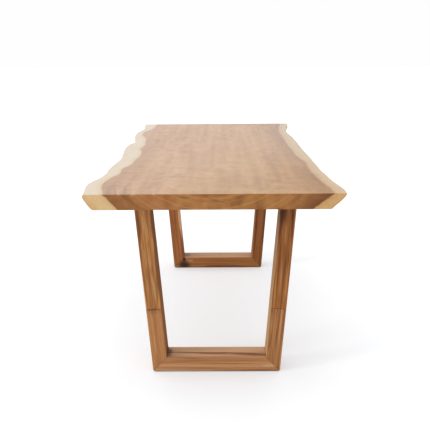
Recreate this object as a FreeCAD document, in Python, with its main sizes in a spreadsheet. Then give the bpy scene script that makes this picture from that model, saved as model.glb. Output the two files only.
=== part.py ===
import FreeCAD, Part
import math
import os
import Sketcher

# A live edge dining table: one thick slab of wood on two closed trapezoid frames.
#
# Frame of the model, in millimetres: +Z is up and z = 0 is the floor under the glides.
# Y runs along the table, with the front end at -Y. X runs across it, with left at -X.
# The origin is on the floor under the middle of the slab's widest outline.
#
# Each frame has mitred corners with loose tenons. Each leg is two lengths of timber,
# joined end to end with dowels. Bolts go up through the hidden top rail into threaded
# inserts in the slab, and the outer two sit in slots so that the slab can swell and shrink.

Vector = FreeCAD.Vector

DRIVING_DIMENSIONS = [
    ("table_length", 1800, "slab, end to end"),
    ("table_height", 760, "floor to table top"),
    ("slab_thickness", 51, "planed thickness"),
    ("slab_arris_drop", 6, "table top down to the widest line of the live edge"),
    ("slab_arris_inset", 3, "widest line in to the edge of the table top"),
    ("slab_lower_round", 9, "height of the rounded lower part of the live edge"),
    ("frame_inset", 265, "end of the slab in to the outer face of a frame"),
    ("frame_offset", 8, "middle of the slab's outline to the middle of the frames, along X"),
    ("foot_length", 485, "a frame's outer length at the foot rail"),
    ("leg_lean", 4.3, "outward lean of each leg, degrees"),
    ("stock_thickness", 57, "leg and rail timber, in the plane of the frame"),
    ("stock_depth", 90, "leg and rail timber, along the table"),
    ("timber_arris", 2.5, "radius of the eased long edges"),
    ("foot_corner", 6, "radius of the outer corner at the foot"),
    ("splice_rise", 254, "foot corner up a leg to the end joint"),
    ("tenon_length", 36, "loose tenon, across the mitre"),
    ("tenon_thickness", 10, "loose tenon"),
    ("tenon_width", 50, "loose tenon, along the table"),
    ("tenon_round", 4.5, "radius of the tenon's long edges"),
    ("dowel_diameter", 10, "splice dowel"),
    ("dowel_length", 60, "splice dowel"),
    ("dowel_spacing", 44, "between the two dowels of a splice"),
    ("socket_slack", 0.5, "extra depth at each end of a mortise or dowel hole"),
    ("bolt_spacing", 170, "between the bolts of one top rail"),
    ("bolt_diameter", 8, "M8"),
    ("bolt_length", 60, "under the head"),
    ("bolt_head_flats", 13, "across flats"),
    ("bolt_head_height", 5.3, "hexagon head"),
    ("bolt_tip_chamfer", 1, "chamfer at the end of the bolt"),
    ("bolt_slot_length", 17, "outer bolt slots, overall"),
    ("bolt_hole_diameter", 9, "clearance hole and slot width"),
    ("counterbore_diameter", 30, "recess for washer, head and socket"),
    ("counterbore_depth", 22, "recess from the underside of the top rail"),
    ("washer_diameter", 24, "large washer"),
    ("washer_hole_diameter", 8.4, "large washer"),
    ("washer_thickness", 2, "large washer"),
    ("insert_diameter", 12, "threaded insert, root of its outer thread"),
    ("insert_ridge", 0.5, "height of the insert's outer thread"),
    ("insert_length", 25, "threaded insert"),
    ("insert_flange_diameter", 17, "threaded insert"),
    ("insert_flange_thickness", 1.6, "threaded insert"),
    ("insert_hole_depth", 28, "bore in the underside of the slab"),
    ("glide_diameter", 24, "nail-on glide"),
    ("glide_thickness", 3, "nail-on glide"),
    ("glide_edge", 0.8, "chamfer round the glide"),
    ("glide_setback", 32, "foot corner in to the middle of a glide"),
    ("nail_diameter", 2.5, "glide nail"),
    ("nail_length", 12, "glide nail, under the head"),
    ("nail_head_diameter", 6, "glide nail"),
    ("nail_head_thickness", 1, "glide nail"),
    ("nail_head_recess", 0.8, "nail head up from the sole of the glide"),
]

# The live edges at their widest line, walked from the front end to the rear end:
# (distance from the middle of the table, half width, undercut down to the underside).
LEFT_EDGE = [
    (-900, 410, 36), (-850, 415, 34), (-800, 421, 32), (-745, 425, 30), (-700, 418, 31),
    (-650, 405, 33), (-600, 397, 36), (-550, 394, 36), (-500, 397, 35), (-400, 395, 34),
    (-300, 388, 32), (-225, 386, 33), (-165, 391, 34), (-80, 399, 37), (0, 405, 39),
    (75, 408, 39), (140, 402, 37), (190, 389, 35), (240, 389, 33), (300, 396, 33),
    (370, 407, 36), (440, 414, 38), (515, 417, 40), (590, 414, 38), (640, 405, 36),
    (700, 398, 33), (760, 403, 33), (830, 409, 36), (900, 415, 37),
]
RIGHT_EDGE = [
    (-900, 424, 47), (-850, 426, 46), (-800, 422, 45), (-740, 414, 44), (-680, 408, 43),
    (-610, 405, 42), (-540, 400, 41), (-450, 399, 43), (-350, 398, 45), (-240, 396, 46),
    (-120, 393, 43), (0, 391, 42), (140, 391, 43), (260, 388, 44), (350, 387, 42),
    (420, 383, 40), (500, 377, 39), (560, 378, 38), (620, 385, 37), (680, 394, 39),
    (740, 403, 42), (800, 409, 44), (850, 413, 45), (900, 413, 45),
]

# Shares of the undercut that the left and the right edge have taken on the way down.
WIDEST_SHARES = (0, 0)
MIDDLE_SHARES = (0.27, 0.38)  # halfway down the slab
LOWER_SHARES = (0.62, 0.78)  # where the lower rounding starts
UNDERSIDE_SHARES = (1, 1)

ENDS = {"front": -1, "rear": 1}
SIDES = {"left": 0, "right": 180}  # yaw that turns the left-hand shape to its side
BOLTS_PER_RAIL = 3
GLIDES_PER_RAIL = 2
INSERT_RIDGES = 6

# Expressions on the sheet that several sub-parts share.
MITRE_FOOT = "((90 + dims.leg_lean) / 2 * 1deg)"
MITRE_HEAD = "((90 - dims.leg_lean) / 2 * 1deg)"
LEAN = "(dims.leg_lean * 1deg)"
CORNER_TANGENT = f"(dims.foot_corner / tan{MITRE_FOOT})"
CORNER_SHORTFALL = f"(dims.foot_corner / sin{MITRE_FOOT} - dims.foot_corner)"
SAW_OVERRUN = "8"
SAW_DEPTH = "(2 * dims.stock_depth)"
FRAME_Y = "(dims.table_length / 2 - dims.frame_inset - dims.stock_depth / 2)"
UNDERSIDE_Z = "(dims.table_height - dims.slab_thickness)"
FRAME_HEIGHT = f"({UNDERSIDE_Z} - dims.glide_thickness)"
LEG_LENGTH = f"({FRAME_HEIGHT} / cos{LEAN})"
FOOT_HALF = "(dims.foot_length / 2)"
HEAD_HALF = f"({FOOT_HALF} + {FRAME_HEIGHT} * tan{LEAN})"
TOP_RAIL_LOW = f"({UNDERSIDE_Z} - dims.stock_thickness)"
WASHER_SEAT = f"({TOP_RAIL_LOW} + dims.counterbore_depth)"

doc = FreeCAD.newDocument("live_edge_dining_table")
sheet = doc.addObject("Spreadsheet::Sheet", "dims")
sub_parts = []


def fill_sheet():
    """Write each driving dimension as a plain number with its alias and a note."""
    for row, (alias, value, note) in enumerate(DRIVING_DIMENSIONS, start=1):
        sheet.set(f"A{row}", alias)
        sheet.set(f"B{row}", str(value))
        sheet.set(f"C{row}", note)
        sheet.setAlias(f"B{row}", alias)
    doc.recompute()


def value_of(expression):
    """The number that an expression on the sheet gives."""
    result = sheet.evalExpression(expression)
    return float(getattr(result, "Value", result))


def place(item, x, y, z, yaw="0", pitch="0"):
    """Bind the item's Placement to expressions on the sheet, angles in degrees."""
    base = f"create(<<vector>>; {x}; {y}; {z})"
    turn = f"create(<<rotation>>; {yaw}; {pitch}; 0)"
    item.setExpression("Placement", f"create(<<placement>>; {base}; {turn})")


def keep(item, node):
    """Register a finished sub-part: its Label is the node's name and the file's name."""
    item.Label = node
    sub_parts.append(item)
    return item


def new_body(name):
    body = doc.addObject("PartDesign::Body", name)
    body.AllowCompound = True
    return body


def new_sketch(body, role, name, offset=None):
    """A sketch on one of the body's own origin planes, moved along its normal by offset."""
    plane = next(item for item in body.Origin.OriginFeatures if item.Role == role)
    sketch = body.newObject("Sketcher::SketchObject", name)
    sketch.AttachmentSupport = [(plane, "")]
    sketch.MapMode = "FlatFace"
    if offset:
        sketch.setExpression("AttachmentOffset.Base.z", offset)
    return sketch


def pin_point(sketch, geometry, point, x, y):
    """Hold one point of the sketch at two expressions, either of which may be negative."""
    for kind, expression in (("DistanceX", x), ("DistanceY", y)):
        if expression is None:
            continue
        number = value_of(expression)
        if abs(number) < 1e-9:
            axis = -2 if kind == "DistanceX" else -1
            sketch.addConstraint(Sketcher.Constraint("PointOnObject", geometry, point, axis))
        elif number > 0:
            index = sketch.addConstraint(Sketcher.Constraint(kind, -1, 1, geometry, point, number))
            sketch.setExpression(f"Constraints[{index}]", expression)
        else:
            index = sketch.addConstraint(Sketcher.Constraint(kind, geometry, point, -1, 1, -number))
            sketch.setExpression(f"Constraints[{index}]", f"-({expression})")


def draw_polygon(sketch, corners):
    """A closed polygon, each corner pinned at a pair of expressions."""
    points = [Vector(value_of(x), value_of(y), 0) for x, y in corners]
    first = len(sketch.Geometry)
    count = len(points)
    for index in range(count):
        sketch.addGeometry(Part.LineSegment(points[index], points[(index + 1) % count]), False)
    for index in range(count):
        following = first + (index + 1) % count
        sketch.addConstraint(Sketcher.Constraint("Coincident", first + index, 2, following, 1))
        pin_point(sketch, first + index, 1, *corners[index])


def draw_circle(sketch, x, y, diameter):
    centre = Vector(value_of(x), value_of(y), 0)
    circle = Part.Circle(centre, Vector(0, 0, 1), value_of(diameter) / 2)
    index = sketch.addGeometry(circle, False)
    pin_point(sketch, index, 3, x, y)
    size = sketch.addConstraint(Sketcher.Constraint("Diameter", index, value_of(diameter)))
    sketch.setExpression(f"Constraints[{size}]", diameter)


def pad(body, sketch, name, length, both_ways=False):
    feature = body.newObject("PartDesign::Pad", name)
    feature.Profile = sketch
    feature.setExpression("Length", length)
    feature.Midplane = both_ways
    return feature


def pocket(body, sketch, name, depth, upwards=False, both_ways=False):
    """Cut the sketch into the body, and stop if the cut removes nothing."""
    doc.recompute()
    before = body.Shape.Volume
    feature = body.newObject("PartDesign::Pocket", name)
    feature.Profile = sketch
    feature.setExpression("Length", depth)
    feature.Reversed = upwards
    feature.Midplane = both_ways
    doc.recompute()
    if not feature.Shape.Volume < before - 1e-6:
        raise RuntimeError(f"{name} removes nothing")


def revolve(body, sketch, name):
    feature = body.newObject("PartDesign::Revolution", name)
    feature.Profile = sketch
    feature.ReferenceAxis = (sketch, ["V_Axis"])
    feature.Angle = 360
    return feature


def repeat_along_x(body, features, name, spacing, count):
    """Repeat a solid's features in a row that starts at the body's origin."""
    doc.recompute()
    pattern = body.newObject("PartDesign::LinearPattern", name)
    pattern.Originals = features
    axis = next(item for item in body.Origin.OriginFeatures if item.Role == "X_Axis")
    pattern.Direction = (axis, [""])
    pattern.Occurrences = count
    pattern.setExpression("Length", f"({spacing}) * {count - 1}")
    body.Tip = pattern
    doc.recompute()


def edge_names(shape, wanted):
    """Names of the edges of a shape that pass a test."""
    return [f"Edge{index}" for index, edge in enumerate(shape.Edges, start=1) if wanted(edge)]


def round_edges(body, base, name, radius, wanted):
    doc.recompute()
    feature = body.newObject("PartDesign::Fillet", name)
    feature.Base = (base, edge_names(base.Shape, wanted))
    feature.setExpression("Radius", radius)
    doc.recompute()


def long_edge_test(axis_index, shortest):
    """True for straight edges along one axis, and for the arcs at the foot corners."""
    def wanted(edge):
        if edge.Curve.TypeId == "Part::GeomCircle":
            return True
        start, end = edge.Vertexes[0].Point, edge.Vertexes[-1].Point
        span = end - start
        return abs(span[axis_index]) > shortest and abs(span.y) < 1e-6
    return wanted


# ---------------------------------------------------------------------------------- slab

def live_edge_curve(stations, side, inset, undercut_share):
    """A smooth curve along one live edge, moved in by an inset and a share of the undercut."""
    scale = value_of("dims.table_length") / (stations[-1][0] - stations[0][0])
    points = []
    for along, half_width, undercut in stations:
        reach = half_width - inset - undercut_share * undercut
        points.append(Vector(side * reach, along * scale, 0))
    curve = Part.BSplineCurve()
    curve.interpolate(points)
    return curve, points[0], points[-1]


def draw_slab_outline(body, name, height, inset, undercut_shares):
    """One level of the slab: two live edges joined by the two sawn ends."""
    sketch = new_sketch(body, "XY_Plane", name, height)
    left_share, right_share = undercut_shares
    left, left_front, left_rear = live_edge_curve(LEFT_EDGE, -1, inset, left_share)
    right, right_front, right_rear = live_edge_curve(RIGHT_EDGE, 1, inset, right_share)
    sketch.addGeometry(left, False)
    sketch.addGeometry(Part.LineSegment(left_rear, right_rear), False)
    sketch.addGeometry(right, False)
    sketch.addGeometry(Part.LineSegment(right_front, left_front), False)
    sketch.addConstraint(Sketcher.Constraint("Coincident", 0, 2, 1, 1))
    sketch.addConstraint(Sketcher.Constraint("Coincident", 1, 2, 2, 2))
    sketch.addConstraint(Sketcher.Constraint("Coincident", 2, 1, 3, 1))
    sketch.addConstraint(Sketcher.Constraint("Coincident", 3, 2, 0, 1))
    return sketch


def build_slab():
    """One slab: five outlines lofted straight from level to level, with bores underneath."""
    body = new_body("slab_body")
    inset = value_of("dims.slab_arris_inset")
    levels = [
        ("slab_underside_outline", UNDERSIDE_Z, 0, UNDERSIDE_SHARES),
        ("slab_lower_outline", f"{UNDERSIDE_Z} + dims.slab_lower_round", 0, LOWER_SHARES),
        ("slab_middle_outline", f"{UNDERSIDE_Z} + dims.slab_thickness / 2", 0, MIDDLE_SHARES),
        ("slab_widest_outline", "dims.table_height - dims.slab_arris_drop", 0, WIDEST_SHARES),
        ("slab_top_outline", "dims.table_height", inset, WIDEST_SHARES),
    ]
    sketches = [draw_slab_outline(body, *level) for level in levels]
    doc.recompute()
    loft = body.newObject("PartDesign::AdditiveLoft", "slab_loft")
    loft.Profile = sketches[0]
    loft.Sections = [(sketch, [""]) for sketch in sketches[1:]]
    loft.Ruled = True
    doc.recompute()
    bores = new_sketch(body, "XY_Plane", "insert_bore_circles", UNDERSIDE_Z)
    seats = new_sketch(body, "XY_Plane", "insert_flange_circles", UNDERSIDE_Z)
    for sign in ENDS.values():
        for step in range(BOLTS_PER_RAIL):
            x = f"dims.frame_offset + ({step} - {(BOLTS_PER_RAIL - 1) / 2}) * dims.bolt_spacing"
            y = f"{sign} * {FRAME_Y}"
            draw_circle(bores, x, y, "dims.insert_diameter + 2 * dims.insert_ridge")
            draw_circle(seats, x, y, "dims.insert_flange_diameter")
    pocket(body, bores, "insert_bores", "dims.insert_hole_depth", upwards=True)
    pocket(body, seats, "insert_flange_seats", "dims.insert_flange_thickness", upwards=True)
    keep(body, "slab_top")


# -------------------------------------------------------------------------- frame timbers

def draw_arc(sketch, centre, start, end, middle):
    """An arc from start to end that runs through middle."""
    numbers = [Vector(value_of(x), value_of(y), 0) for x, y in (start, middle, end)]
    arc = Part.Arc(*numbers).toShape().Curve
    circle = Part.Circle(arc.Center, Vector(0, 0, 1), arc.Radius)
    angles = [math.atan2(point.y - arc.Center.y, point.x - arc.Center.x) for point in numbers]
    first, last = angles[0], angles[2]
    turn = (last - first) % (2 * math.pi)
    counter_clockwise = turn < math.pi
    if not counter_clockwise:
        first, last = last, first
    index = sketch.addGeometry(Part.ArcOfCircle(circle, first, last), False)
    pin_point(sketch, index, 3, *centre)
    return index, (1, 2) if counter_clockwise else (2, 1)


def pin_beside_centre(sketch, line, end, centre):
    """Hold an arc's end by the one coordinate that fixes it well on a circle already held."""
    x, y = end
    beside = abs(value_of(x) - centre.x) > abs(value_of(y) - centre.y)
    pin_point(sketch, line, 1, None if beside else x, y if beside else None)


def outline_with_arcs(sketch, chain):
    """A closed outline from a chain of corners, where an entry of four points is an arc.

    Every plain corner is a pair of expressions. An arc entry is (start, middle, end,
    centre): its start and end lie on the neighbouring lines.
    """
    ends = []
    for entry in chain:
        if len(entry) == 4:
            start, middle, end, centre = entry
            index, (first, last) = draw_arc(sketch, centre, start, end, middle)
            ends.append((start, end, (index, first), (index, last)))
        else:
            ends.append((entry, entry, None, None))
    lines = []
    for position, (_, leave, _, _) in enumerate(ends):
        arrive = ends[(position + 1) % len(ends)][0]
        a = Vector(value_of(leave[0]), value_of(leave[1]), 0)
        b = Vector(value_of(arrive[0]), value_of(arrive[1]), 0)
        lines.append(sketch.addGeometry(Part.LineSegment(a, b), False))
    for position, (start, end, arc_start, arc_end) in enumerate(ends):
        before, after = lines[position - 1], lines[position]
        if arc_start is None:
            sketch.addConstraint(Sketcher.Constraint("Coincident", before, 2, after, 1))
            pin_point(sketch, after, 1, *start)
        else:
            sketch.addConstraint(Sketcher.Constraint("Coincident", before, 2, *arc_start))
            sketch.addConstraint(Sketcher.Constraint("Coincident", *arc_end, after, 1))
            pin_point(sketch, before, 2, *start)
            pin_beside_centre(sketch, after, end, sketch.Geometry[arc_end[0]].Center)


def leg_placement(item, end, side):
    """Stand a leg at its foot corner, leaning outwards, on one side of one frame."""
    outwards = -1 if side == "left" else 1
    x = f"dims.frame_offset + {outwards} * {FOOT_HALF}"
    place(item, x, f"{ENDS[end]} * {FRAME_Y}", "dims.glide_thickness", SIDES[side], "-dims.leg_lean")


def build_lower_leg(end, side):
    """The lower length of a leg, drawn upright with its outer face on x = 0.

    It is drawn down to the line of the sole, rounded, and then mitred.
    """
    node = f"{end}_{side}_leg_lower"
    body = new_body(f"{node}_body")
    sketch = new_sketch(body, "XZ_Plane", f"{node}_outline")
    width = "dims.stock_thickness"
    on_face = ("0", CORNER_TANGENT)
    on_mitre = (f"{CORNER_SHORTFALL} * sin{MITRE_FOOT}", f"{CORNER_SHORTFALL} * cos{MITRE_FOOT}")
    on_sole = (f"{CORNER_TANGENT} * cos{LEAN}", f"-{CORNER_TANGENT} * sin{LEAN}")
    chain = [
        ("0", "dims.splice_rise"),
        (on_face, on_mitre, on_sole, ("dims.foot_corner", CORNER_TANGENT)),
        (width, f"-{width} * tan{LEAN}"),
        (width, "dims.splice_rise"),
    ]
    outline_with_arcs(sketch, chain)
    block = pad(body, sketch, f"{node}_block", "dims.stock_depth", True)
    round_edges(body, block, f"{node}_arrises", "dims.timber_arris", long_edge_test(2, 100))
    waste = new_sketch(body, "XZ_Plane", f"{node}_mitre_waste")
    draw_polygon(waste, [
        (f"-{SAW_OVERRUN} * sin{MITRE_FOOT}", f"-{SAW_OVERRUN} * cos{MITRE_FOOT}"),
        (f"{width} + {SAW_OVERRUN} * sin{MITRE_FOOT}",
         f"{width} / tan{MITRE_FOOT} + {SAW_OVERRUN} * cos{MITRE_FOOT}"),
        (f"{width} + {SAW_OVERRUN} * sin{MITRE_FOOT}", f"-{width}"),
        (f"-{SAW_OVERRUN} * sin{MITRE_FOOT}", f"-{width}"),
    ])
    pocket(body, waste, f"{node}_mitre", SAW_DEPTH, both_ways=True)
    leg_placement(body, end, side)
    return node, body


def build_upper_leg(end, side):
    """The upper length of a leg, from the end joint to the mitre under the slab."""
    node = f"{end}_{side}_leg_upper"
    body = new_body(f"{node}_body")
    sketch = new_sketch(body, "XZ_Plane", f"{node}_outline")
    width = "dims.stock_thickness"
    corners = [
        ("0", "dims.splice_rise"),
        (width, "dims.splice_rise"),
        (width, f"{LEG_LENGTH} - {width} / tan{MITRE_HEAD}"),
        ("0", LEG_LENGTH),
    ]
    draw_polygon(sketch, corners)
    block = pad(body, sketch, f"{node}_block", "dims.stock_depth", True)
    round_edges(body, block, f"{node}_arrises", "dims.timber_arris", long_edge_test(2, 100))
    leg_placement(body, end, side)
    return node, body


def build_foot_rail(end):
    """The rail on the floor: drawn out to the faces of the legs, rounded, then mitred."""
    node = f"{end}_foot_rail"
    body = new_body(f"{node}_body")
    sketch = new_sketch(body, "XZ_Plane", f"{node}_outline")
    rise = "dims.stock_thickness"

    def rounded_corner(sign):
        """The arc's end on the leg's face, middle, end on the sole, and centre."""
        def mirrored(run):
            return f"{sign} * ({FOOT_HALF} - {run})"
        on_face = (mirrored(f"-{CORNER_TANGENT} * sin{LEAN}"), f"{CORNER_TANGENT} * cos{LEAN}")
        on_mitre = (mirrored(f"{CORNER_SHORTFALL} * cos{MITRE_FOOT}"),
                    f"{CORNER_SHORTFALL} * sin{MITRE_FOOT}")
        on_sole = (mirrored(CORNER_TANGENT), "0")
        return on_face, on_mitre, on_sole, (mirrored(CORNER_TANGENT), "dims.foot_corner")

    top_half = f"({FOOT_HALF} + {rise} * tan{LEAN})"
    right_face, right_mitre, right_sole, right_centre = rounded_corner(1)
    chain = [
        (f"-{top_half}", rise),
        rounded_corner(-1),
        (right_sole, right_mitre, right_face, right_centre),
        (top_half, rise),
    ]
    outline_with_arcs(sketch, chain)
    block = pad(body, sketch, f"{node}_block", "dims.stock_depth", True)
    round_edges(body, block, f"{node}_arrises", "dims.timber_arris", long_edge_test(0, 100))
    waste = new_sketch(body, "XZ_Plane", f"{node}_mitre_waste")
    for sign in (-1, 1):
        outside = f"{sign} * ({top_half} + {SAW_OVERRUN})"
        low, high = f"-{SAW_OVERRUN} * sin{MITRE_FOOT}", f"{rise} + {SAW_OVERRUN} * sin{MITRE_FOOT}"
        draw_polygon(waste, [
            (f"{sign} * ({FOOT_HALF} + {SAW_OVERRUN} * cos{MITRE_FOOT})", low),
            (f"{sign} * ({FOOT_HALF} - {rise} / tan{MITRE_FOOT} - {SAW_OVERRUN} * cos{MITRE_FOOT})",
             high),
            (outside, high),
            (outside, low),
        ])
    pocket(body, waste, f"{node}_mitres", SAW_DEPTH, both_ways=True)
    place(body, "dims.frame_offset", f"{ENDS[end]} * {FRAME_Y}", "dims.glide_thickness")
    return node, body


def draw_slot(sketch, x, half_run, diameter):
    """A slot along X: two half circles joined by two straight sides."""
    radius = value_of(diameter) / 2
    middle = value_of(x)
    run = value_of(half_run)
    up = Vector(0, 0, 1)
    left = Part.ArcOfCircle(Part.Circle(Vector(middle - run, 0, 0), up, radius),
                            math.pi / 2, 3 * math.pi / 2)
    right = Part.ArcOfCircle(Part.Circle(Vector(middle + run, 0, 0), up, radius),
                             -math.pi / 2, math.pi / 2)
    lower = Part.LineSegment(Vector(middle - run, -radius, 0), Vector(middle + run, -radius, 0))
    upper = Part.LineSegment(Vector(middle + run, radius, 0), Vector(middle - run, radius, 0))
    a, b, c, d = [sketch.addGeometry(item, False) for item in (left, lower, right, upper)]
    for one, one_end, other, other_end in ((a, 2, b, 1), (b, 2, c, 1), (c, 2, d, 1), (d, 2, a, 1)):
        sketch.addConstraint(Sketcher.Constraint("Tangent", one, one_end, other, other_end))
    pin_point(sketch, a, 3, f"{x} - {half_run}", "0")
    pin_point(sketch, c, 3, f"{x} + {half_run}", "0")
    size = sketch.addConstraint(Sketcher.Constraint("Radius", a, radius))
    sketch.setExpression(f"Constraints[{size}]", f"({diameter}) / 2")


def build_top_rail(end):
    """The rail under the slab, mitred to both legs, with a bolt hole and two slots."""
    node = f"{end}_top_rail"
    body = new_body(f"{node}_body")
    sketch = new_sketch(body, "XZ_Plane", f"{node}_outline")
    low_half = f"({HEAD_HALF} - dims.stock_thickness / tan{MITRE_HEAD})"
    corners = [
        (f"-{HEAD_HALF}", UNDERSIDE_Z),
        (f"-{low_half}", TOP_RAIL_LOW),
        (low_half, TOP_RAIL_LOW),
        (HEAD_HALF, UNDERSIDE_Z),
    ]
    draw_polygon(sketch, corners)
    block = pad(body, sketch, f"{node}_block", "dims.stock_depth", True)
    round_edges(body, block, f"{node}_arrises", "dims.timber_arris", long_edge_test(0, 100))
    recesses = new_sketch(body, "XY_Plane", f"{node}_counterbores", TOP_RAIL_LOW)
    holes = new_sketch(body, "XY_Plane", f"{node}_bolt_holes", TOP_RAIL_LOW)
    slot_half_run = "(dims.bolt_slot_length - dims.bolt_hole_diameter) / 2"
    draw_circle(recesses, "0", "0", "dims.counterbore_diameter")
    draw_circle(holes, "0", "0", "dims.bolt_hole_diameter")
    for sign in (-1, 1):
        x = f"{sign} * dims.bolt_spacing"
        draw_circle(recesses, x, "0", "dims.counterbore_diameter")
        draw_slot(holes, x, slot_half_run, "dims.bolt_hole_diameter")
    pocket(body, recesses, f"{node}_recess_cut", "dims.counterbore_depth", upwards=True)
    pocket(body, holes, f"{node}_hole_cut", "dims.stock_thickness", upwards=True)
    place(body, "dims.frame_offset", f"{ENDS[end]} * {FRAME_Y}", "0")
    return node, body


# ------------------------------------------------------------------------ hidden joinery

def tenon_body(name, end, slack):
    """Four loose tenons, square across the four mitres of one frame."""
    body = new_body(name)
    sketch = new_sketch(body, "XZ_Plane", f"{name}_outline")
    half_length = f"(dims.tenon_length / 2 + {slack})"
    half_thickness = "(dims.tenon_thickness / 2)"
    half_stock = "(dims.stock_thickness / 2)"
    for mitre, corner_half, corner_z, rise in (
        (MITRE_FOOT, FOOT_HALF, "dims.glide_thickness", 1),
        (MITRE_HEAD, HEAD_HALF, UNDERSIDE_Z, -1),
    ):
        for sign in (-1, 1):
            def at(along_mitre, across_mitre):
                """Offsets from the middle of the mitre, in the plane of the frame."""
                x = (f"{sign} * ({corner_half} - {half_stock} / tan{mitre}"
                     f" - {along_mitre} * cos{mitre} - {across_mitre} * sin{mitre})")
                z = (f"{corner_z} + {rise} * ({half_stock} + {along_mitre} * sin{mitre}"
                     f" - {across_mitre} * cos{mitre})")
                return x, z
            draw_polygon(sketch, [
                at(f"-{half_thickness}", f"-{half_length}"),
                at(half_thickness, f"-{half_length}"),
                at(half_thickness, half_length),
                at(f"-{half_thickness}", half_length),
            ])
    block = pad(body, sketch, f"{name}_blocks", f"dims.tenon_width + 2 * {slack}", True)

    def runs_across_the_mitre(edge):
        span = edge.Vertexes[1].Point - edge.Vertexes[0].Point
        long_enough = abs(span.Length - 2 * value_of(half_length)) < 1e-3
        return long_enough and abs(span.y) < 1e-6

    round_edges(body, block, f"{name}_rounds", "dims.tenon_round", runs_across_the_mitre)
    place(body, "dims.frame_offset", f"{ENDS[end]} * {FRAME_Y}", "0")
    return body


def dowel_group(name, end, slack):
    """Two dowels in each of the two splices of one frame, lying along the legs."""
    dowels = []
    for side, yaw in SIDES.items():
        outwards = -1 if side == "left" else 1
        for row in (-1, 1):
            dowel = doc.addObject("Part::Cylinder", f"{name}_{side}_{'near' if row < 0 else 'far'}")
            dowel.setExpression("Radius", "dims.dowel_diameter / 2")
            dowel.setExpression("Height", f"dims.dowel_length + 2 * {slack}")
            rise = f"(dims.splice_rise - dims.dowel_length / 2 - {slack})"
            inwards = f"({rise} * -sin{LEAN} + dims.stock_thickness / 2 * cos{LEAN})"
            x = f"dims.frame_offset + {outwards} * ({FOOT_HALF} - {inwards})"
            y = f"{ENDS[end]} * {FRAME_Y} + {row} * dims.dowel_spacing / 2"
            z = (f"dims.glide_thickness + {rise} * cos{LEAN}"
                 f" + dims.stock_thickness / 2 * sin{LEAN}")
            place(dowel, x, y, z, yaw, "-dims.leg_lean")
            dowels.append(dowel)
    return group_of(name, dowels)


def group_of(name, members):
    group = doc.addObject("Part::Compound", name)
    group.Links = members
    return group


def nail_holes(name, end):
    """The holes that the two glide nails make in one foot rail."""
    holes = []
    for sign in (-1, 1):
        hole = doc.addObject("Part::Cylinder", f"{name}_{'left' if sign < 0 else 'right'}")
        hole.setExpression("Radius", "dims.nail_diameter / 2")
        hole.setExpression("Height", "dims.nail_length")
        x = f"dims.frame_offset + {sign} * ({FOOT_HALF} - dims.glide_setback)"
        z = "dims.nail_head_recess + dims.nail_head_thickness"
        place(hole, x, f"{ENDS[end]} * {FRAME_Y}", z)
        holes.append(hole)
    return holes


def bored(node, body, tool):
    """The finished timber: its body less the mortises, dowel holes and nail holes."""
    cut = doc.addObject("Part::Cut", f"{node}_joined")
    cut.Base = body
    cut.Tool = tool
    return keep(cut, node)


# ------------------------------------------------------------------------------ hardware

def row_placement(body, end, spacing, count, z):
    """Centre a row of repeated solids on the middle of a frame."""
    x = f"dims.frame_offset - ({spacing}) * {(count - 1) / 2}"
    place(body, x, f"{ENDS[end]} * {FRAME_Y}", z)


def build_bolts(end):
    """Hexagon bolts, head down, drawn from the underside of the head."""
    node = f"{end}_top_rail_bolts"
    body = new_body(f"{node}_body")
    head_plan = new_sketch(body, "XY_Plane", f"{node}_hexagon")
    corner = "(dims.bolt_head_flats / 2 / cos(30deg))"
    draw_polygon(head_plan, [(f"{corner} * cos({60 * step}deg)", f"{corner} * sin({60 * step}deg)")
                             for step in range(6)])
    head = pad(body, head_plan, f"{node}_head", "dims.bolt_head_height")
    head.Reversed = True
    shank_plan = new_sketch(body, "XY_Plane", f"{node}_circle")
    draw_circle(shank_plan, "0", "0", "dims.bolt_diameter")
    shank = pad(body, shank_plan, f"{node}_shank", "dims.bolt_length")
    doc.recompute()
    tip = body.newObject("PartDesign::Chamfer", f"{node}_tip")
    tip_height = value_of("dims.bolt_length")
    tip.Base = (shank, edge_names(shank.Shape, lambda edge: abs(edge.CenterOfMass.z - tip_height) < 1e-6))
    tip.setExpression("Size", "dims.bolt_tip_chamfer")
    repeat_along_x(body, [head, shank, tip], f"{node}_row", "dims.bolt_spacing", BOLTS_PER_RAIL)
    row_placement(body, end, "dims.bolt_spacing", BOLTS_PER_RAIL,
                  f"{WASHER_SEAT} - dims.washer_thickness")
    keep(body, node)


def build_ring_row(node, end, profile, spacing, count, z):
    """Equal turned pieces in a row, from one profile of (radius, height) corners."""
    body = new_body(f"{node}_body")
    sketch = new_sketch(body, "XZ_Plane", f"{node}_profile")
    draw_polygon(sketch, profile)
    ring = revolve(body, sketch, f"{node}_turned")
    repeat_along_x(body, [ring], f"{node}_row", spacing, count)
    row_placement(body, end, spacing, count, z)
    keep(body, node)


def build_washers(end):
    inner, outer = "dims.washer_hole_diameter / 2", "dims.washer_diameter / 2"
    profile = [(inner, "0"), (outer, "0"), (outer, "dims.washer_thickness"),
               (inner, "dims.washer_thickness")]
    build_ring_row(f"{end}_top_rail_washers", end, profile, "dims.bolt_spacing", BOLTS_PER_RAIL,
                   f"{WASHER_SEAT} - dims.washer_thickness")


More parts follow.
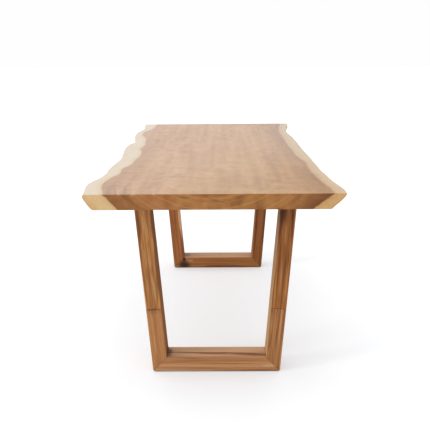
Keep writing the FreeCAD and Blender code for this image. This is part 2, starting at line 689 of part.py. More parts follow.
def build_inserts(end):
    """Threaded inserts: a flange, then a barrel whose outer thread is a stack of ridges."""
    bore, barrel = "dims.bolt_diameter / 2", "dims.insert_diameter / 2"
    flange = "dims.insert_flange_diameter / 2"
    crest = f"({barrel} + dims.insert_ridge)"
    pitch = f"((dims.insert_length - dims.insert_flange_thickness) / {INSERT_RIDGES})"
    profile = [(bore, "0"), (flange, "0"), (flange, "dims.insert_flange_thickness"),
               (barrel, "dims.insert_flange_thickness")]
    for ridge in range(INSERT_RIDGES):
        base = f"dims.insert_flange_thickness + {pitch} * {ridge}"
        profile.append((crest, f"{base} + {pitch} / 2"))
        profile.append((barrel, f"{base} + {pitch}"))
    profile.append((bore, "dims.insert_length"))
    build_ring_row(f"{end}_threaded_inserts", end, profile, "dims.bolt_spacing", BOLTS_PER_RAIL,
                   UNDERSIDE_Z)


def build_glides(end):
    """Round glides with a countersunk recess for the nail's head."""
    spacing = f"(2 * ({FOOT_HALF} - dims.glide_setback))"
    rim, edge = "dims.glide_diameter / 2", "dims.glide_edge"
    hole, recess = "dims.nail_diameter / 2", "dims.nail_head_diameter / 2"
    seat = "(dims.nail_head_recess + dims.nail_head_thickness)"
    profile = [(recess, "0"), (f"{rim} - {edge}", "0"), (rim, edge), (rim, "dims.glide_thickness"),
               (hole, "dims.glide_thickness"), (hole, seat), (recess, seat)]
    build_ring_row(f"{end}_glides", end, profile, spacing, GLIDES_PER_RAIL, "0")


def build_glide_nails(end):
    spacing = f"(2 * ({FOOT_HALF} - dims.glide_setback))"
    head, shank = "dims.nail_head_diameter / 2", "dims.nail_diameter / 2"
    top = "(dims.nail_head_thickness + dims.nail_length)"
    profile = [("0", "0"), (head, "0"), (head, "dims.nail_head_thickness"),
               (shank, "dims.nail_head_thickness"), (shank, f"{top} - dims.nail_diameter"),
               ("0", top)]
    build_ring_row(f"{end}_glide_nails", end, profile, spacing, GLIDES_PER_RAIL,
                   "dims.nail_head_recess")


# ---------------------------------------------------------------------------- assembling

def build_frame(end):
    """One closed trapezoid frame with its joinery, bolts, inserts and glides."""
    timbers = [build_foot_rail(end), build_top_rail(end)]
    for side in SIDES:
        timbers.append(build_lower_leg(end, side))
        timbers.append(build_upper_leg(end, side))
    mortises = tenon_body(f"{end}_mortises", end, "dims.socket_slack")
    dowel_holes = dowel_group(f"{end}_dowel_holes", end, "dims.socket_slack")
    tools = [mortises, dowel_holes] + nail_holes(f"{end}_nail_holes", end)
    tool = group_of(f"{end}_joinery_cuts", tools)
    doc.recompute()
    for node, body in timbers:
        bored(node, body, tool)
    keep(tenon_body(f"{end}_tenons", end, "0"), f"{end}_mitre_tenons")
    keep(dowel_group(f"{end}_dowels", end, "0"), f"{end}_splice_dowels")
    build_bolts(end)
    build_washers(end)
    build_inserts(end)
    build_glides(end)
    build_glide_nails(end)


def check_document():
    """Stop before anything is written if an object failed or a sub-part is unsound."""
    for item in doc.Objects:
        if any(word in item.State for word in ("Invalid", "Error")):
            raise RuntimeError(f"{item.Name} failed: {item.getStatusString()}")
    for item in sub_parts:
        if item.Shape.isNull() or not item.Shape.isValid() or not item.Shape.Solids:
            raise RuntimeError(f"{item.Label} has no sound shape")


def write_parts():
    os.makedirs("parts", exist_ok=True)
    for item in sub_parts:
        item.Shape.exportStep(f"parts/{item.Label}.step")
        box = item.Shape.BoundBox
        print(f"{item.Label}: {len(item.Shape.Solids)} solids, {item.Shape.Volume / 1000:.1f} cm3,"
              f" x {box.XMin:.1f}..{box.XMax:.1f}, y {box.YMin:.1f}..{box.YMax:.1f},"
              f" z {box.ZMin:.1f}..{box.ZMax:.1f}")


fill_sheet()
build_slab()
for frame_end in ENDS:
    build_frame(frame_end)
doc.recompute()
check_document()
write_parts()
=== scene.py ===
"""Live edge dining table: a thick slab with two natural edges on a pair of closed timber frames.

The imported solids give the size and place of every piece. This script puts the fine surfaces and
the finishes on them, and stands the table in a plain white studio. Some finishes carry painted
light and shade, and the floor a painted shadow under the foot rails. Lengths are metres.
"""

import logging
import math
from dataclasses import dataclass, replace
from enum import Enum

import bmesh
import bpy
import numpy as np
from mathutils import Matrix, Vector


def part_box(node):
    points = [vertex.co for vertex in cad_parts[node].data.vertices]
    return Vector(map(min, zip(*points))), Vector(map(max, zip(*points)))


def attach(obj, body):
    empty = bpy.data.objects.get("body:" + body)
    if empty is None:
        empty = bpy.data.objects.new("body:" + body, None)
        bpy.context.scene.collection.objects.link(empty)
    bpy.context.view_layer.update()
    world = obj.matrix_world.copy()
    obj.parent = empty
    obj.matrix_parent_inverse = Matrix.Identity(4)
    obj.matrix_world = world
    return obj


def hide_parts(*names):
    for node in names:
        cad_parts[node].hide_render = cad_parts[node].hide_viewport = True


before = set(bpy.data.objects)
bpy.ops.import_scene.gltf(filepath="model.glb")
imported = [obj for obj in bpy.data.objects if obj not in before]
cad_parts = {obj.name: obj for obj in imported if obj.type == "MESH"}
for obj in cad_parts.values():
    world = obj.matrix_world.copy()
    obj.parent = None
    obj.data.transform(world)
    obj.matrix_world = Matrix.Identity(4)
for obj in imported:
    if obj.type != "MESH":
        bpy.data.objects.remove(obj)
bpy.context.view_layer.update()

MM = 0.001
Array = np.ndarray
Socket = bpy.types.NodeSocket
Colour = tuple[float, float, float]
Point = tuple[float, float, float]
Rows = tuple[tuple[float, ...], ...]
log = logging.getLogger("live_edge_table")


class Side(Enum):
    """A side of the table, as somebody at its front end sees it, and its way along X."""

    LEFT = -1
    RIGHT = 1


class End(Enum):
    """An end of the table, and the word that its frame's nodes begin with."""

    FRONT = "front"
    REAR = "rear"


class Facing(Enum):
    """A way that a face looks."""

    UP = (0.0, 0.0, 1.0)
    LEFT = (-1.0, 0.0, 0.0)
    RIGHT = (1.0, 0.0, 0.0)


# ---------------------------------------------------------------- shapes worked out as arrays

# Points of a mesh that are nearer to each other than this become one.
MERGE = 0.001 * MM


def smooth_through(rows: Rows, column: int, at: Array) -> Array:
    """A smooth line through given stations.

    On each span the value follows the cubic that meets both stations, with the slope there of
    the parabola through a station and its two neighbours, or of the chord at the two ends.

    Args:
        rows: the stations in mm, rising: a place, then the values there.
        column: which of the values to follow.
        at: places to read, metres.

    Returns:
        The value at each place, metres.
    """
    table = np.array(rows) * MM
    stations, values = table[:, 0], table[:, column]
    slopes = np.gradient(values, stations)
    low = np.clip(np.searchsorted(stations, at) - 1, 0, len(stations) - 2)
    span = stations[low + 1] - stations[low]
    share = np.clip((at - stations[low]) / span, 0.0, 1.0)
    rise = share * share * (3.0 - 2.0 * share)
    bend = share * (1.0 - share)
    lift = span * bend * ((1.0 - share) * slopes[low] - share * slopes[low + 1])
    return values[low] * (1.0 - rise) + values[low + 1] * rise + lift


def cut_corners(points: Array, rounds: int) -> Array:
    """Rounds a broken line by cutting its corners.

    Each round puts two points on every side, at a quarter and three quarters of it, and keeps
    the two ends.

    Args:
        points: one row for each point.
        rounds: how many times the corners are cut.

    Returns:
        The rounded line, with twice as many points for each round.
    """
    for _ in range(rounds):
        near = 0.75 * points[:-1] + 0.25 * points[1:]
        far = 0.25 * points[:-1] + 0.75 * points[1:]
        cut = np.stack([near, far], axis=1).reshape(-1, points.shape[1])
        points = np.concatenate([points[:1], cut, points[-1:]])
    return points


class Heights:
    """Smooth random heights from -1 to 1.

    Random numbers stand on a square lattice that repeats, and between them the height blends
    with the fade 6 s^5 - 15 s^4 + 10 s^3 both ways.
    """

    def __init__(self, seed: int, size: int = 97) -> None:
        """Draws the lattice for one seed."""
        self.size = size
        self.grid = np.random.default_rng(seed).uniform(-1.0, 1.0, (size, size))

    def __call__(self, a: Array, b: Array) -> Array:
        """The height at lattice coordinates a and b."""
        a, b = np.broadcast_arrays(a, b)
        i, j = np.floor(a).astype(int), np.floor(b).astype(int)
        s, t = a - i, b - j
        s = s * s * s * (s * (6.0 * s - 15.0) + 10.0)
        t = t * t * t * (t * (6.0 * t - 15.0) + 10.0)
        i0, i1, j0, j1 = i % self.size, (i + 1) % self.size, j % self.size, (j + 1) % self.size
        near = self.grid[i0, j0] * (1.0 - s) + self.grid[i1, j0] * s
        far = self.grid[i0, j1] * (1.0 - s) + self.grid[i1, j1] * s
        return near * (1.0 - t) + far * t


def skin(name: str, points: Array, fields: dict[str, Array]) -> bpy.types.Object:
    """A closed mesh from a grid whose columns go all the way round the piece.

    Args:
        name: the piece's name.
        points: rows x columns x 3 places. Points that fall together at the ends are merged.
        fields: numbers for each point, rows x columns, which the finishes read by name.

    Returns:
        The new object, with its faces outwards.
    """
    rows, columns = points.shape[:2]
    index = np.arange(rows * columns).reshape(rows, columns)
    ring = np.roll(index, -1, axis=1)
    quads = np.stack([index[:-1], ring[:-1], ring[1:], index[1:]], axis=-1).reshape(-1, 4)
    mesh = bpy.data.meshes.new(name)
    mesh.vertices.add(rows * columns)
    mesh.vertices.foreach_set("co", points.reshape(-1).astype(np.float32))
    mesh.loops.add(quads.size)
    mesh.loops.foreach_set("vertex_index", quads.reshape(-1).astype(np.int32))
    mesh.polygons.add(len(quads))
    mesh.polygons.foreach_set("loop_start", (4 * np.arange(len(quads))).astype(np.int32))
    mesh.update(calc_edges=True)
    for title, numbers in fields.items():
        layer = mesh.attributes.new(title, "FLOAT", "POINT")
        layer.data.foreach_set("value", numbers.reshape(-1).astype(np.float32))
    work = bmesh.new()
    work.from_mesh(mesh)
    bmesh.ops.remove_doubles(work, verts=work.verts, dist=MERGE)
    bmesh.ops.recalc_face_normals(work, faces=work.faces)
    work.to_mesh(mesh)
    work.free()
    mesh.polygons.foreach_set("use_smooth", np.ones(len(mesh.polygons), bool))
    piece = bpy.data.objects.new(name, mesh)
    bpy.context.scene.collection.objects.link(piece)
    return piece


# ---------------------------------------------------------------- shader maths

# These bring noise, which keeps close to 0.5, to about -1 to 1.
CLOUD_SPREAD = 3.2
BAND_SPREAD = 3.0
# A face counts as looking one way from the first of these cosines to that way, fully at the second.
FACE_TURN = (0.5, 0.9)
# The Mix node's numbers for its share and its two colours, and for the colour that comes out.
MIX_INPUTS = (0, 6, 7)
MIX_RESULT = 2


class Field:
    """A number that varies over a surface or with direction: a socket that sums like a number."""

    def __init__(self, nodes: "Nodes", socket: Socket) -> None:
        """Wraps one output socket of a node tree."""
        self.nodes = nodes
        self.socket = socket

    def maths(self, operation: str, *terms: "Number") -> "Field":
        """One Math node over the terms, in their order."""
        node = self.nodes.node("ShaderNodeMath", {"operation": operation}, dict(enumerate(terms)))
        return Field(self.nodes, node.outputs[0])

    def __add__(self, other: "Number") -> "Field":
        """self + other."""
        return self.maths("ADD", self, other)

    __radd__ = __add__

    def __sub__(self, other: "Number") -> "Field":
        """self - other."""
        return self.maths("SUBTRACT", self, other)

    def __rsub__(self, other: "Number") -> "Field":
        """other - self."""
        return self.maths("SUBTRACT", other, self)

    def __mul__(self, other: "Number") -> "Field":
        """self times other."""
        return self.maths("MULTIPLY", self, other)

    __rmul__ = __mul__

    def __abs__(self) -> "Field":
        """self without its sign."""
        return self.maths("ABSOLUTE", self)

    def at_least(self, other: "Number") -> "Field":
        """The larger of the two."""
        return self.maths("MAXIMUM", self, other)

    def root(self) -> "Field":
        """The square root."""
        return self.maths("SQRT", self)

    def rise(self, low: float, high: float) -> "Field":
        """0 below low and 1 above high, with a smooth step between. High may be the lower one."""
        settings = {"interpolation_type": "SMOOTHSTEP", "clamp": True}
        node = self.nodes.node("ShaderNodeMapRange", settings, {"Value": self, 1: low, 2: high})
        return Field(self.nodes, node.outputs[0])


Number = Field | float


class Nodes:
    """A node tree under construction."""

    def __init__(self, tree: bpy.types.NodeTree) -> None:
        """Takes the tree of a material or a world."""
        self.tree = tree

    def node(self, kind: str, settings: dict | None = None, inputs: dict | None = None) -> bpy.types.Node:
        """Adds one node.

        Args:
            kind: the node's type.
            settings: its settings, which are set first. "stops" are a ramp's stops.
            inputs: a value, a Field or a socket for each input, by its name or number.

        Returns:
            The node.
        """
        node = self.tree.nodes.new(kind)
        for word, setting in (settings or {}).items():
            if word == "stops":
                self.set_stops(node.color_ramp, setting)
            else:
                setattr(node, word, setting)
        for word, value in (inputs or {}).items():
            self.feed(node.inputs[word], value)
        return node

    @staticmethod
    def set_stops(ramp: bpy.types.ColorRamp, stops: list[tuple[float, Colour]]) -> None:
        """Gives a ramp its stops, from the lowest to the highest."""
        while len(ramp.elements) < len(stops):
            ramp.elements.new(1.0)
        for element, (place, colour) in zip(ramp.elements, stops):
            element.position = place
            element.color = (*colour, 1.0)

    def feed(self, socket: Socket, value: object) -> None:
        """Links a Field or a socket to an input, or sets the input's own value."""
        if isinstance(value, Field):
            value = value.socket
        if isinstance(value, Socket):
            self.tree.links.new(value, socket)
        elif socket.type == "RGBA":
            socket.default_value = (*value, 1.0)
        else:
            socket.default_value = value

    def parts(self, vector: Socket) -> tuple[Field, Field, Field]:
        """The three numbers of a vector."""
        outputs = self.node("ShaderNodeSeparateXYZ", None, {0: vector}).outputs
        return Field(self, outputs[0]), Field(self, outputs[1]), Field(self, outputs[2])

    def vectors(self, operation: str, *terms: object) -> Socket:
        """One Vector Math node over the terms, in their order."""
        return self.node("ShaderNodeVectorMath", {"operation": operation}, dict(enumerate(terms))).outputs[0]

    def measured(self, operation: str, *terms: object) -> Field:
        """The same where the node gives a number, as a length or a dot product is."""
        node = self.node("ShaderNodeVectorMath", {"operation": operation}, dict(enumerate(terms)))
        return Field(self, node.outputs["Value"])


class Shader(Nodes):
    """A material under construction, on one Principled surface.

    Attributes:
        place: where a point of the piece is, in the table's own frame.
        normal: which way the surface faces there.
    """

    def __init__(self, name: str) -> None:
        """Starts a material with this name."""
        self.material = bpy.data.materials.new(name)
        self.material.use_nodes = True
        super().__init__(self.material.node_tree)
        self.surface = self.tree.nodes["Principled BSDF"]
        coordinates = self.node("ShaderNodeTexCoord").outputs
        self.place, self.normal = coordinates["Object"], coordinates["Normal"]

    def attribute(self, name: str) -> Field:
        """A number that the mesh holds at each point."""
        return Field(self, self.node("ShaderNodeAttribute", {"attribute_name": name}).outputs["Fac"])

    def turned(self, vector: Socket, origin: Point, turn: Point) -> Socket:
        """A place seen from an origin, along axes that are turned by three angles."""
        inputs = {"Vector": vector, "Location": origin, "Rotation": turn}
        return self.node("ShaderNodeMapping", {"vector_type": "TEXTURE"}, inputs).outputs[0]

    def clouds(self, vector: Socket, by: Point, detail: float = 2.0, distortion: float = 0.0) -> Field:
        """Soft noise around 0, about -1 to 1, with this many lumps a metre each way."""
        inputs = {"Vector": self.vectors("MULTIPLY", vector, by), "Scale": 1.0, "Detail": detail,
                  "Distortion": distortion}
        noise = Field(self, self.node("ShaderNodeTexNoise", None, inputs).outputs[0])
        return (noise - 0.5) * CLOUD_SPREAD

    def bands(self, number: Field, per_metre: float, detail: float = 1.0) -> Field:
        """Uneven bands along one number, about -1 to 1."""
        inputs = {"W": number * per_metre, "Scale": 1.0, "Detail": detail}
        noise = self.node("ShaderNodeTexNoise", {"noise_dimensions": "1D"}, inputs)
        return (Field(self, noise.outputs[0]) - 0.5) * BAND_SPREAD

    def mix(self, share: Number, first: object, second: object) -> Socket:
        """The first colour where the share is 0 and the second where it is 1."""
        settings = {"data_type": "RGBA", "clamp_factor": True}
        inputs = dict(zip(MIX_INPUTS, (share, first, second)))
        return self.node("ShaderNodeMix", settings, inputs).outputs[MIX_RESULT]

    def tinted(self, colour: Socket, by: Colour) -> Socket:
        """A colour seen through another, each channel by its own factor."""
        return self.vectors("MULTIPLY", colour, by)

    def scaled(self, colour: Socket, by: Field) -> Socket:
        """A colour made lighter or darker by a factor."""
        inputs = {0: colour, "Scale": by}
        return self.node("ShaderNodeVectorMath", {"operation": "SCALE"}, inputs).outputs[0]

    def finish(self, colour: object, roughness: Number, relief: Field | None = None,
               depth: float = 0.0, **fixed: float) -> bpy.types.Material:
        """Closes the material.

        Args:
            colour: the base colour.
            roughness: the surface's roughness.
            relief: height from about -1 to 1, or None for a smooth surface.
            depth: metres that one unit of relief stands for.
            fixed: values of other Principled inputs, by name with _ for a space.

        Returns:
            The finished material.
        """
        self.feed(self.surface.inputs["Base Color"], colour)
        self.feed(self.surface.inputs["Roughness"], roughness)
        for word, value in fixed.items():
            self.surface.inputs[word.replace("_", " ")].default_value = value
        if relief is not None:
            bump = self.node("ShaderNodeBump", None, {"Height": relief, "Distance": depth, "Strength": 1.0})
            self.feed(self.surface.inputs["Normal"], bump.outputs[0])
        return self.material


# ---------------------------------------------------------------- finishes


@dataclass(frozen=True)
class Log:
    """How a piece lay in the log that it was sawn from.

    Attributes:
        pith: a point on the log's heart line, in the table's frame.
        wander: how far the heart line strays, which gives the flames of flat sawn wood.
        turn: the angles that lay the log's length on Y.
        seed: metres along an endless log, so that pieces differ.
    """

    pith: Point
    wander: float
    turn: Point = (0.0, 0.0, 0.0)
    seed: float = 0.0


@dataclass(frozen=True)
class Tones:
    """The colours of one kind of wood.

    Attributes:
        pale, middle, dark: its heartwood, from the lightest band to the darkest.
        stain: its knots and the deepest shade of its joints and crevices.
        sap, sap_line: its sapwood, and the streaks and outer layers of that. On the frames, sap
        is only the colour of painted light on faces.
    """

    pale: Colour
    middle: Colour
    dark: Colour
    stain: Colour
    sap: Colour
    sap_line: Colour


@dataclass(frozen=True)
class Knot:
    """A knot, a dark stain in the wood or a patch of painted shade: its centre, its reach each way, and how
    dark it is.
    """

    centre: Point
    radii: Point
    dark: float


@dataclass(frozen=True)
class Vein:
    """A streak that follows the fibres from one point to another. A few are painted highlights and
    painted shade along an edge.

    Attributes:
        start, end: its two ends.
        width: half its width in the middle. It tapers to nothing at both ends.
        dark: how dark it is, from 0 to 1, or below 0 for a pale one.
    """

    start: Point
    end: Point
    width: float
    dark: float


@dataclass(frozen=True)
class FaceLightAndShade:
    """Painted light on one face of a timber, or painted shade where its share is below 0, laid by the way
    that the face looks.

    Attributes:
        facing: the way that the face looks.
        share: how strong the painted light is, from 0 to 1, or below 0 for painted shade.
        start, end: it fades in from one of these heights to the other, or between these places
            along the table where the face looks up.
        colour: its own colour, or None for the frame's sap tone where it lights the face and its dark wood
            where it shades it.
    """

    facing: Facing
    share: float
    start: float
    end: float
    colour: Colour | None = None


@dataclass(frozen=True)
class JointLine:
    """The line where two timbers meet.

    Attributes:
        point, normal: the joint's plane.
        width: how far the finish darkens beside the joint.
        dark: how dark the line is, from 0 to 1.
    """

    point: Point
    normal: Point
    width: float = 1.4 * MM
    dark: float = 0.6


@dataclass(frozen=True)
class Cut:
    """How one timber was cut from its log, and the painted light and shade on its faces.

    Attributes:
        offset: the heart line's place from the timber's middle, as metres across the timber's
            face and metres behind it.
        seed: what keeps it unlike the others.
        tint: a factor on each channel of its colour.
        wander: how far the heart line strays.
        knots: its knots and stains, and patches of painted shade.
        veins: its streaks, a few of which are painted highlights and painted shade.
        face_light_and_shade: the painted light and shade on its faces.
        contrast: how strongly the figure of its wood shows.
    """

    offset: tuple[float, float]
    seed: float
    tint: Colour
    wander: float = 0.012
    knots: tuple[Knot, ...] = ()
    veins: tuple[Vein, ...] = ()
    face_light_and_shade: tuple[FaceLightAndShade, ...] = ()
    contrast: float = 1.0


class WoodShader(Shader):
    """A wood finish under construction.

    The ring coordinate is the distance from a heart line that strays slowly, plus a fine
    ripple. The fibres are noise drawn out along the log, and the pores its deepest spots.

    Attributes:
        tones: the colours of the wood, or None where nothing is laid over it.
        x, y, z: where a point is, in the table's frame.
        laid: where it lay in its log, whose length is Y.
        ring: its ring coordinate, metres.
        fibre, pore: the fibres, about -1 to 1, and the pores, from 0 to 1.
    """

    STRAYS_APART = 7.3
    RIPPLE = 2.2 * MM
    JOINT_CORE = 0.2 * MM
    THINNEST = 0.001

    def __init__(self, name: str, log_: Log, tones: Tones | None = None) -> None:
        """Finds where every point of a piece was in its log."""
        super().__init__(name)
        self.tones = tones
        self.x, self.y, self.z = self.parts(self.place)
        x, y, z = self.parts(self.turned(self.place, log_.pith, log_.turn))
        self.laid = self.joined(x, y + log_.seed, z)
        elsewhere = self.joined(x, y + (log_.seed + self.STRAYS_APART), z)
        across = x + self.clouds(self.laid, (0.9, 0.8, 0.9), 1.0) * log_.wander
        deep = z + self.clouds(elsewhere, (0.9, 0.9, 0.9), 1.0) * log_.wander
        self.ring = (across * across + deep * deep).root() + self.drawn(15.0, 1.8) * self.RIPPLE
        self.fibre = self.drawn(420.0, 9.0, 3.0)
        self.pore = self.drawn(1500.0, 70.0, 1.0).rise(0.75, 1.25)

    def joined(self, x: Field, y: Field, z: Field) -> Socket:
        """A vector of three numbers."""
        return self.node("ShaderNodeCombineXYZ", None, {0: x, 1: y, 2: z}).outputs[0]

    def drawn(self, across: float, along: float, detail: float = 2.0, distortion: float = 0.0) -> Field:
        """Soft noise in the log, with this many lumps a metre across it and along it."""
        return self.clouds(self.laid, (across, along, across), detail, distortion)

    def heart(self, tone: Field, middle: float) -> Socket:
        """Heartwood, dark where the tone is 0 and pale where it is 1, with its middle colour between."""
        stops = [(0.0, self.tones.dark), (middle, self.tones.middle), (1.0, self.tones.pale)]
        return self.node("ShaderNodeValToRGB", {"stops": stops}, {0: tone}).outputs[0]

    def veined(self, colour: Socket, veins: tuple[Vein, ...], ragged: Field) -> Socket:
        """Lays veins over a colour.

        A vein reaches its width from its line in the middle, and less towards its ends, as
        1 - t^2 with t from -1 to 1 along it. It rises smoothly from nothing there to its full
        strength one width further in.

        Args:
            colour: the colour so far.
            veins: the veins.
            ragged: noise that frays their edges, about -1 to 1.

        Returns:
            The colour with them.
        """
        for vein in veins:
            start, end = Vector(vein.start), Vector(vein.end)
            middle, half = (start + end) / 2.0, (end - start) / 2.0
            away = self.vectors("SUBTRACT", self.place, tuple(middle))
            along = self.measured("DOT_PRODUCT", away, tuple(half)) * (1.0 / half.length_squared)
            off = self.measured("LENGTH", self.vectors("CROSS_PRODUCT", away, tuple(half.normalized())))
            reach = (1.0 - along * along).at_least(self.THINNEST) * vein.width
            outside = (off + ragged * (vein.width * 0.5)) - reach
            strength = outside.rise(0.0, -vein.width) * abs(vein.dark)
            colour = self.mix(strength, colour, self.tones.dark if vein.dark > 0.0 else self.tones.sap_line)
        return colour

    def knotted(self, colour: Socket, knots: tuple[Knot, ...], ragged: Field, core: float) -> Socket:
        """Lays knots over a colour.

        Args:
            colour: the colour so far.
            knots: the knots.
            ragged: noise that frays their edges, as a share of their reach.
            core: the share of its reach inside which a knot is darkest.

        Returns:
            The colour with them.
        """
        for knot in knots:
            away = self.vectors("SUBTRACT", self.place, knot.centre)
            shares = self.vectors("MULTIPLY", away, tuple(1.0 / radius for radius in knot.radii))
            spot = self.measured("LENGTH", shares) + ragged
            colour = self.mix(spot.rise(1.0, core) * knot.dark, colour, self.tones.stain)
        return colour

    def lay_face_light_and_shade(self, colour: Socket, face_light_and_shade: tuple[FaceLightAndShade, ...], streaks: Field) -> Socket:
        """Lays painted light and shade over faces.

        The share of a layer grows with the surface's turn towards its face, and from its start
        to its end. Streaks make it uneven.

        Args:
            colour: the colour so far.
            face_light_and_shade: the painted light and shade.
            streaks: streaks along the timber, about -1 to 1.

        Returns:
            The colour with them.
        """
        for face_layer in face_light_and_shade:
            turn = self.measured("DOT_PRODUCT", self.normal, face_layer.facing.value)
            along = self.y if face_layer.facing is Facing.UP else self.z
            share = turn.rise(*FACE_TURN) * along.rise(face_layer.start, face_layer.end) * (streaks * 0.3 + 1.0)
            painted_tone = self.tones.sap if face_layer.share > 0.0 else self.tones.dark
            colour = self.mix(share * abs(face_layer.share), colour, face_layer.colour or painted_tone)
        return colour

    def jointed(self, colour: Socket, joints: tuple[JointLine, ...]) -> Socket:
        """Darkens a colour beside the planes of joints."""
        for joint in joints:
            away = self.vectors("SUBTRACT", self.place, joint.point)
            off = abs(self.measured("DOT_PRODUCT", away, joint.normal))
            share = off.rise(joint.width, self.JOINT_CORE) * joint.dark
            colour = self.mix(share, colour, self.tones.stain)
        return colour


@dataclass(frozen=True)
class SlabWood:
    """Clear satin lacquer on the slab: brown heartwood between two bands of pale sapwood.

    The mesh gives three numbers at each point: sapwood, the distance outside the line where
    the heartwood ends; hollow, how dark a crevice makes the point, with its bark and painted
    shade; and bark, how much of its look is the natural edge's own.

    Attributes:
        log_: how the slab lay in its log.
        tones: its colours.
        heart_end, sap_end: tints of its two kinds of wood where the saw crossed the fibres.
        sap_right: tint of the sapwood along the right edge, which has weathered more.
        knots: its knots.
        veins: its streaks.
    """

    log_: Log
    tones: Tones
    heart_end: Colour
    sap_end: Colour
    sap_right: Colour
    knots: tuple[Knot, ...]
    veins: tuple[Vein, ...]

    FRAY = 2.5 * MM
    BLEND = 3.0 * MM
    SHADED = 75.0 * MM
    RIM = 18.0 * MM

    def material(self) -> bpy.types.Material:
        """Builds the slab's finish.

        The heartwood's edge is frayed by FRAY and blends over BLEND to each side. Its wood is
        darker over SHADED inside that edge, and more so over RIM.
        """
        wood = WoodShader("slab_wood_lacquered", self.log_, self.tones)
        sap, bark = wood.attribute("sapwood"), wood.attribute("bark")
        sawn_end = abs(wood.parts(wood.normal)[1]).rise(*FACE_TURN)
        ragged = wood.drawn(60.0, 14.0, 3.0)
        edge = sap + ragged * self.FRAY
        heart = self.heartwood(wood, edge, sawn_end)
        pale = self.sapwood(wood, sap, bark, sawn_end)
        colour = wood.mix(edge.rise(-self.BLEND, self.BLEND), heart, pale)
        colour = wood.veined(colour, self.veins, ragged)
        colour = wood.knotted(colour, self.knots, ragged * 0.25, core=0.35)
        # Crevices darken to the stain colour: dark bark in them, and painted shade.
        colour = wood.mix(wood.attribute("hollow"), colour, self.tones.stain)
        colour = wood.scaled(colour, 1.0 - wood.pore * 0.14 + wood.fibre * 0.012)
        dull = wood.x.rise(0.05, 0.38) * wood.y.rise(0.1, -0.9) * 0.16
        roughness = 0.25 + dull + wood.pore * 0.08 + bark * 0.20 + sawn_end * 0.23
        relief = wood.fibre * 0.25 - wood.pore
        return wood.finish(colour, roughness, relief, depth=0.01 * MM, Specular_IOR_Level=0.42)

    def heartwood(self, wood: WoodShader, edge: Field, sawn_end: Field) -> Socket:
        """The heartwood's colour.

        Bands follow the ring coordinate, streaks and a mottled figure lie along the log, a
        cross curl shows near the front end, and blotches show where the saw crossed the fibres.
        The wood darkens to the right, in the front left corner and beside the sapwood, most on
        the right end. Its hue drifts from pinker at the far left to yellower at the near right.

        Args:
            wood: the finish under construction.
            edge: distance outside the line where the heartwood ends.
            sawn_end: 1 on the two sawn ends.

        Returns:
            The colour.
        """
        x, y = wood.x, wood.y
        slow = wood.drawn(4.0, 1.4)
        broad, fine = wood.bands(wood.ring, 55.0, 2.0), wood.bands(wood.ring, 230.0)
        streaks = wood.drawn(34.0, 1.1, 2.5)
        figure = wood.drawn(19.0, 7.0, 2.5, 1.5)
        askew = wood.turned(wood.laid, (0.0, 0.0, 0.0), (0.0, 0.0, -0.35))
        curl = wood.clouds(askew, (8.0, 22.0, 8.0), 2.0, 1.2) * y.rise(0.7, -0.7)
        blotch = wood.drawn(24.0, 24.0)
        at_left_corner = x.rise(-0.05, -0.25) * y.rise(-0.5, -0.9)
        lively = y.rise(-0.7, 0.7) * 0.6 + at_left_corner * 0.5 + 1.0
        mottle = (streaks * 0.20 + figure * 0.22) * lively
        flat_tone = (0.66 + broad * 0.08 + slow * 0.16 + mottle + curl * 0.26
                     - x.rise(0.05, 0.35) * 0.16 - y.rise(0.1, -0.9) * 0.03 - at_left_corner * 0.13)
        end_tone = (0.55 + broad * 0.34 + fine * 0.16 + blotch * 0.46 + wood.fibre * 0.06
                    - x.rise(-0.3, 0.3) * 0.11)
        colour = wood.heart(flat_tone + (end_tone - flat_tone) * sawn_end, middle=0.45)
        hue = wood.drawn(11.0, 4.0, 1.0) + x.rise(0.15, -0.35) + y.rise(-0.4, 0.9) * 0.7 - 0.7
        colour = wood.mix(hue.rise(-1.2, 1.2), wood.tinted(colour, (0.99, 1.01, 0.93)),
                          wood.tinted(colour, (1.01, 0.99, 1.10)))
        to_right = x.rise(-0.1, 0.1)
        beside = (edge + self.SHADED + slow * (20.0 * MM)).rise(0.0, self.SHADED)
        depth = 0.26 + to_right * 0.08 + broad * 0.12 + sawn_end * (0.28 + to_right * 0.35)
        colour = wood.mix(beside * depth.at_least(0.0), colour, self.tones.dark)
        rim = (edge + self.RIM).rise(0.0, self.RIM)
        colour = wood.mix(rim * (1.0 - sawn_end) * to_right * 0.35, colour, self.tones.dark)
        colour = wood.mix(rim * sawn_end * (0.10 + to_right * 0.20), colour, self.tones.stain)
        return wood.mix(sawn_end, colour, wood.tinted(colour, self.heart_end))

    def sapwood(self, wood: WoodShader, sap: Field, bark: Field, sawn_end: Field) -> Socket:
        """The sapwood's colour.

        It is tan beside the heartwood, pale beyond that with faint layers and blotches, and an
        orange tan near the bark. The right side is the deeper of the two.

        Args:
            wood: the finish under construction.
            sap: distance outside the line where the heartwood ends.
            bark: how much of the look is the natural edge's own.
            sawn_end: 1 on the two sawn ends.

        Returns:
            The colour.
        """
        line = self.tones.sap_line
        blotch = wood.drawn(45.0, 8.0, 3.0)
        speck = wood.drawn(170.0, 60.0)
        streak = (wood.bands(sap, 150.0, 2.0) * 0.7 + wood.fibre * 0.10 + blotch * 0.5
                  + speck * (sawn_end * 0.7 + 0.15) + 0.2)
        colour = wood.mix(streak.rise(-0.2, 1.4) * 0.6, self.tones.sap, line)
        beside = (sap + blotch * (4.0 * MM)).rise(14.0 * MM, 0.0) * 0.42
        colour = wood.mix(beside, colour, line)
        outer = sap.rise(34.0 * MM, 62.0 * MM) * sawn_end * 0.55 + bark * (0.45 + blotch * 0.35)
        colour = wood.mix(outer, colour, line)
        colour = wood.mix(sawn_end, colour, wood.tinted(colour, self.sap_end))
        return wood.mix(wood.x.rise(-0.1, 0.1), colour, wood.tinted(colour, self.sap_right))


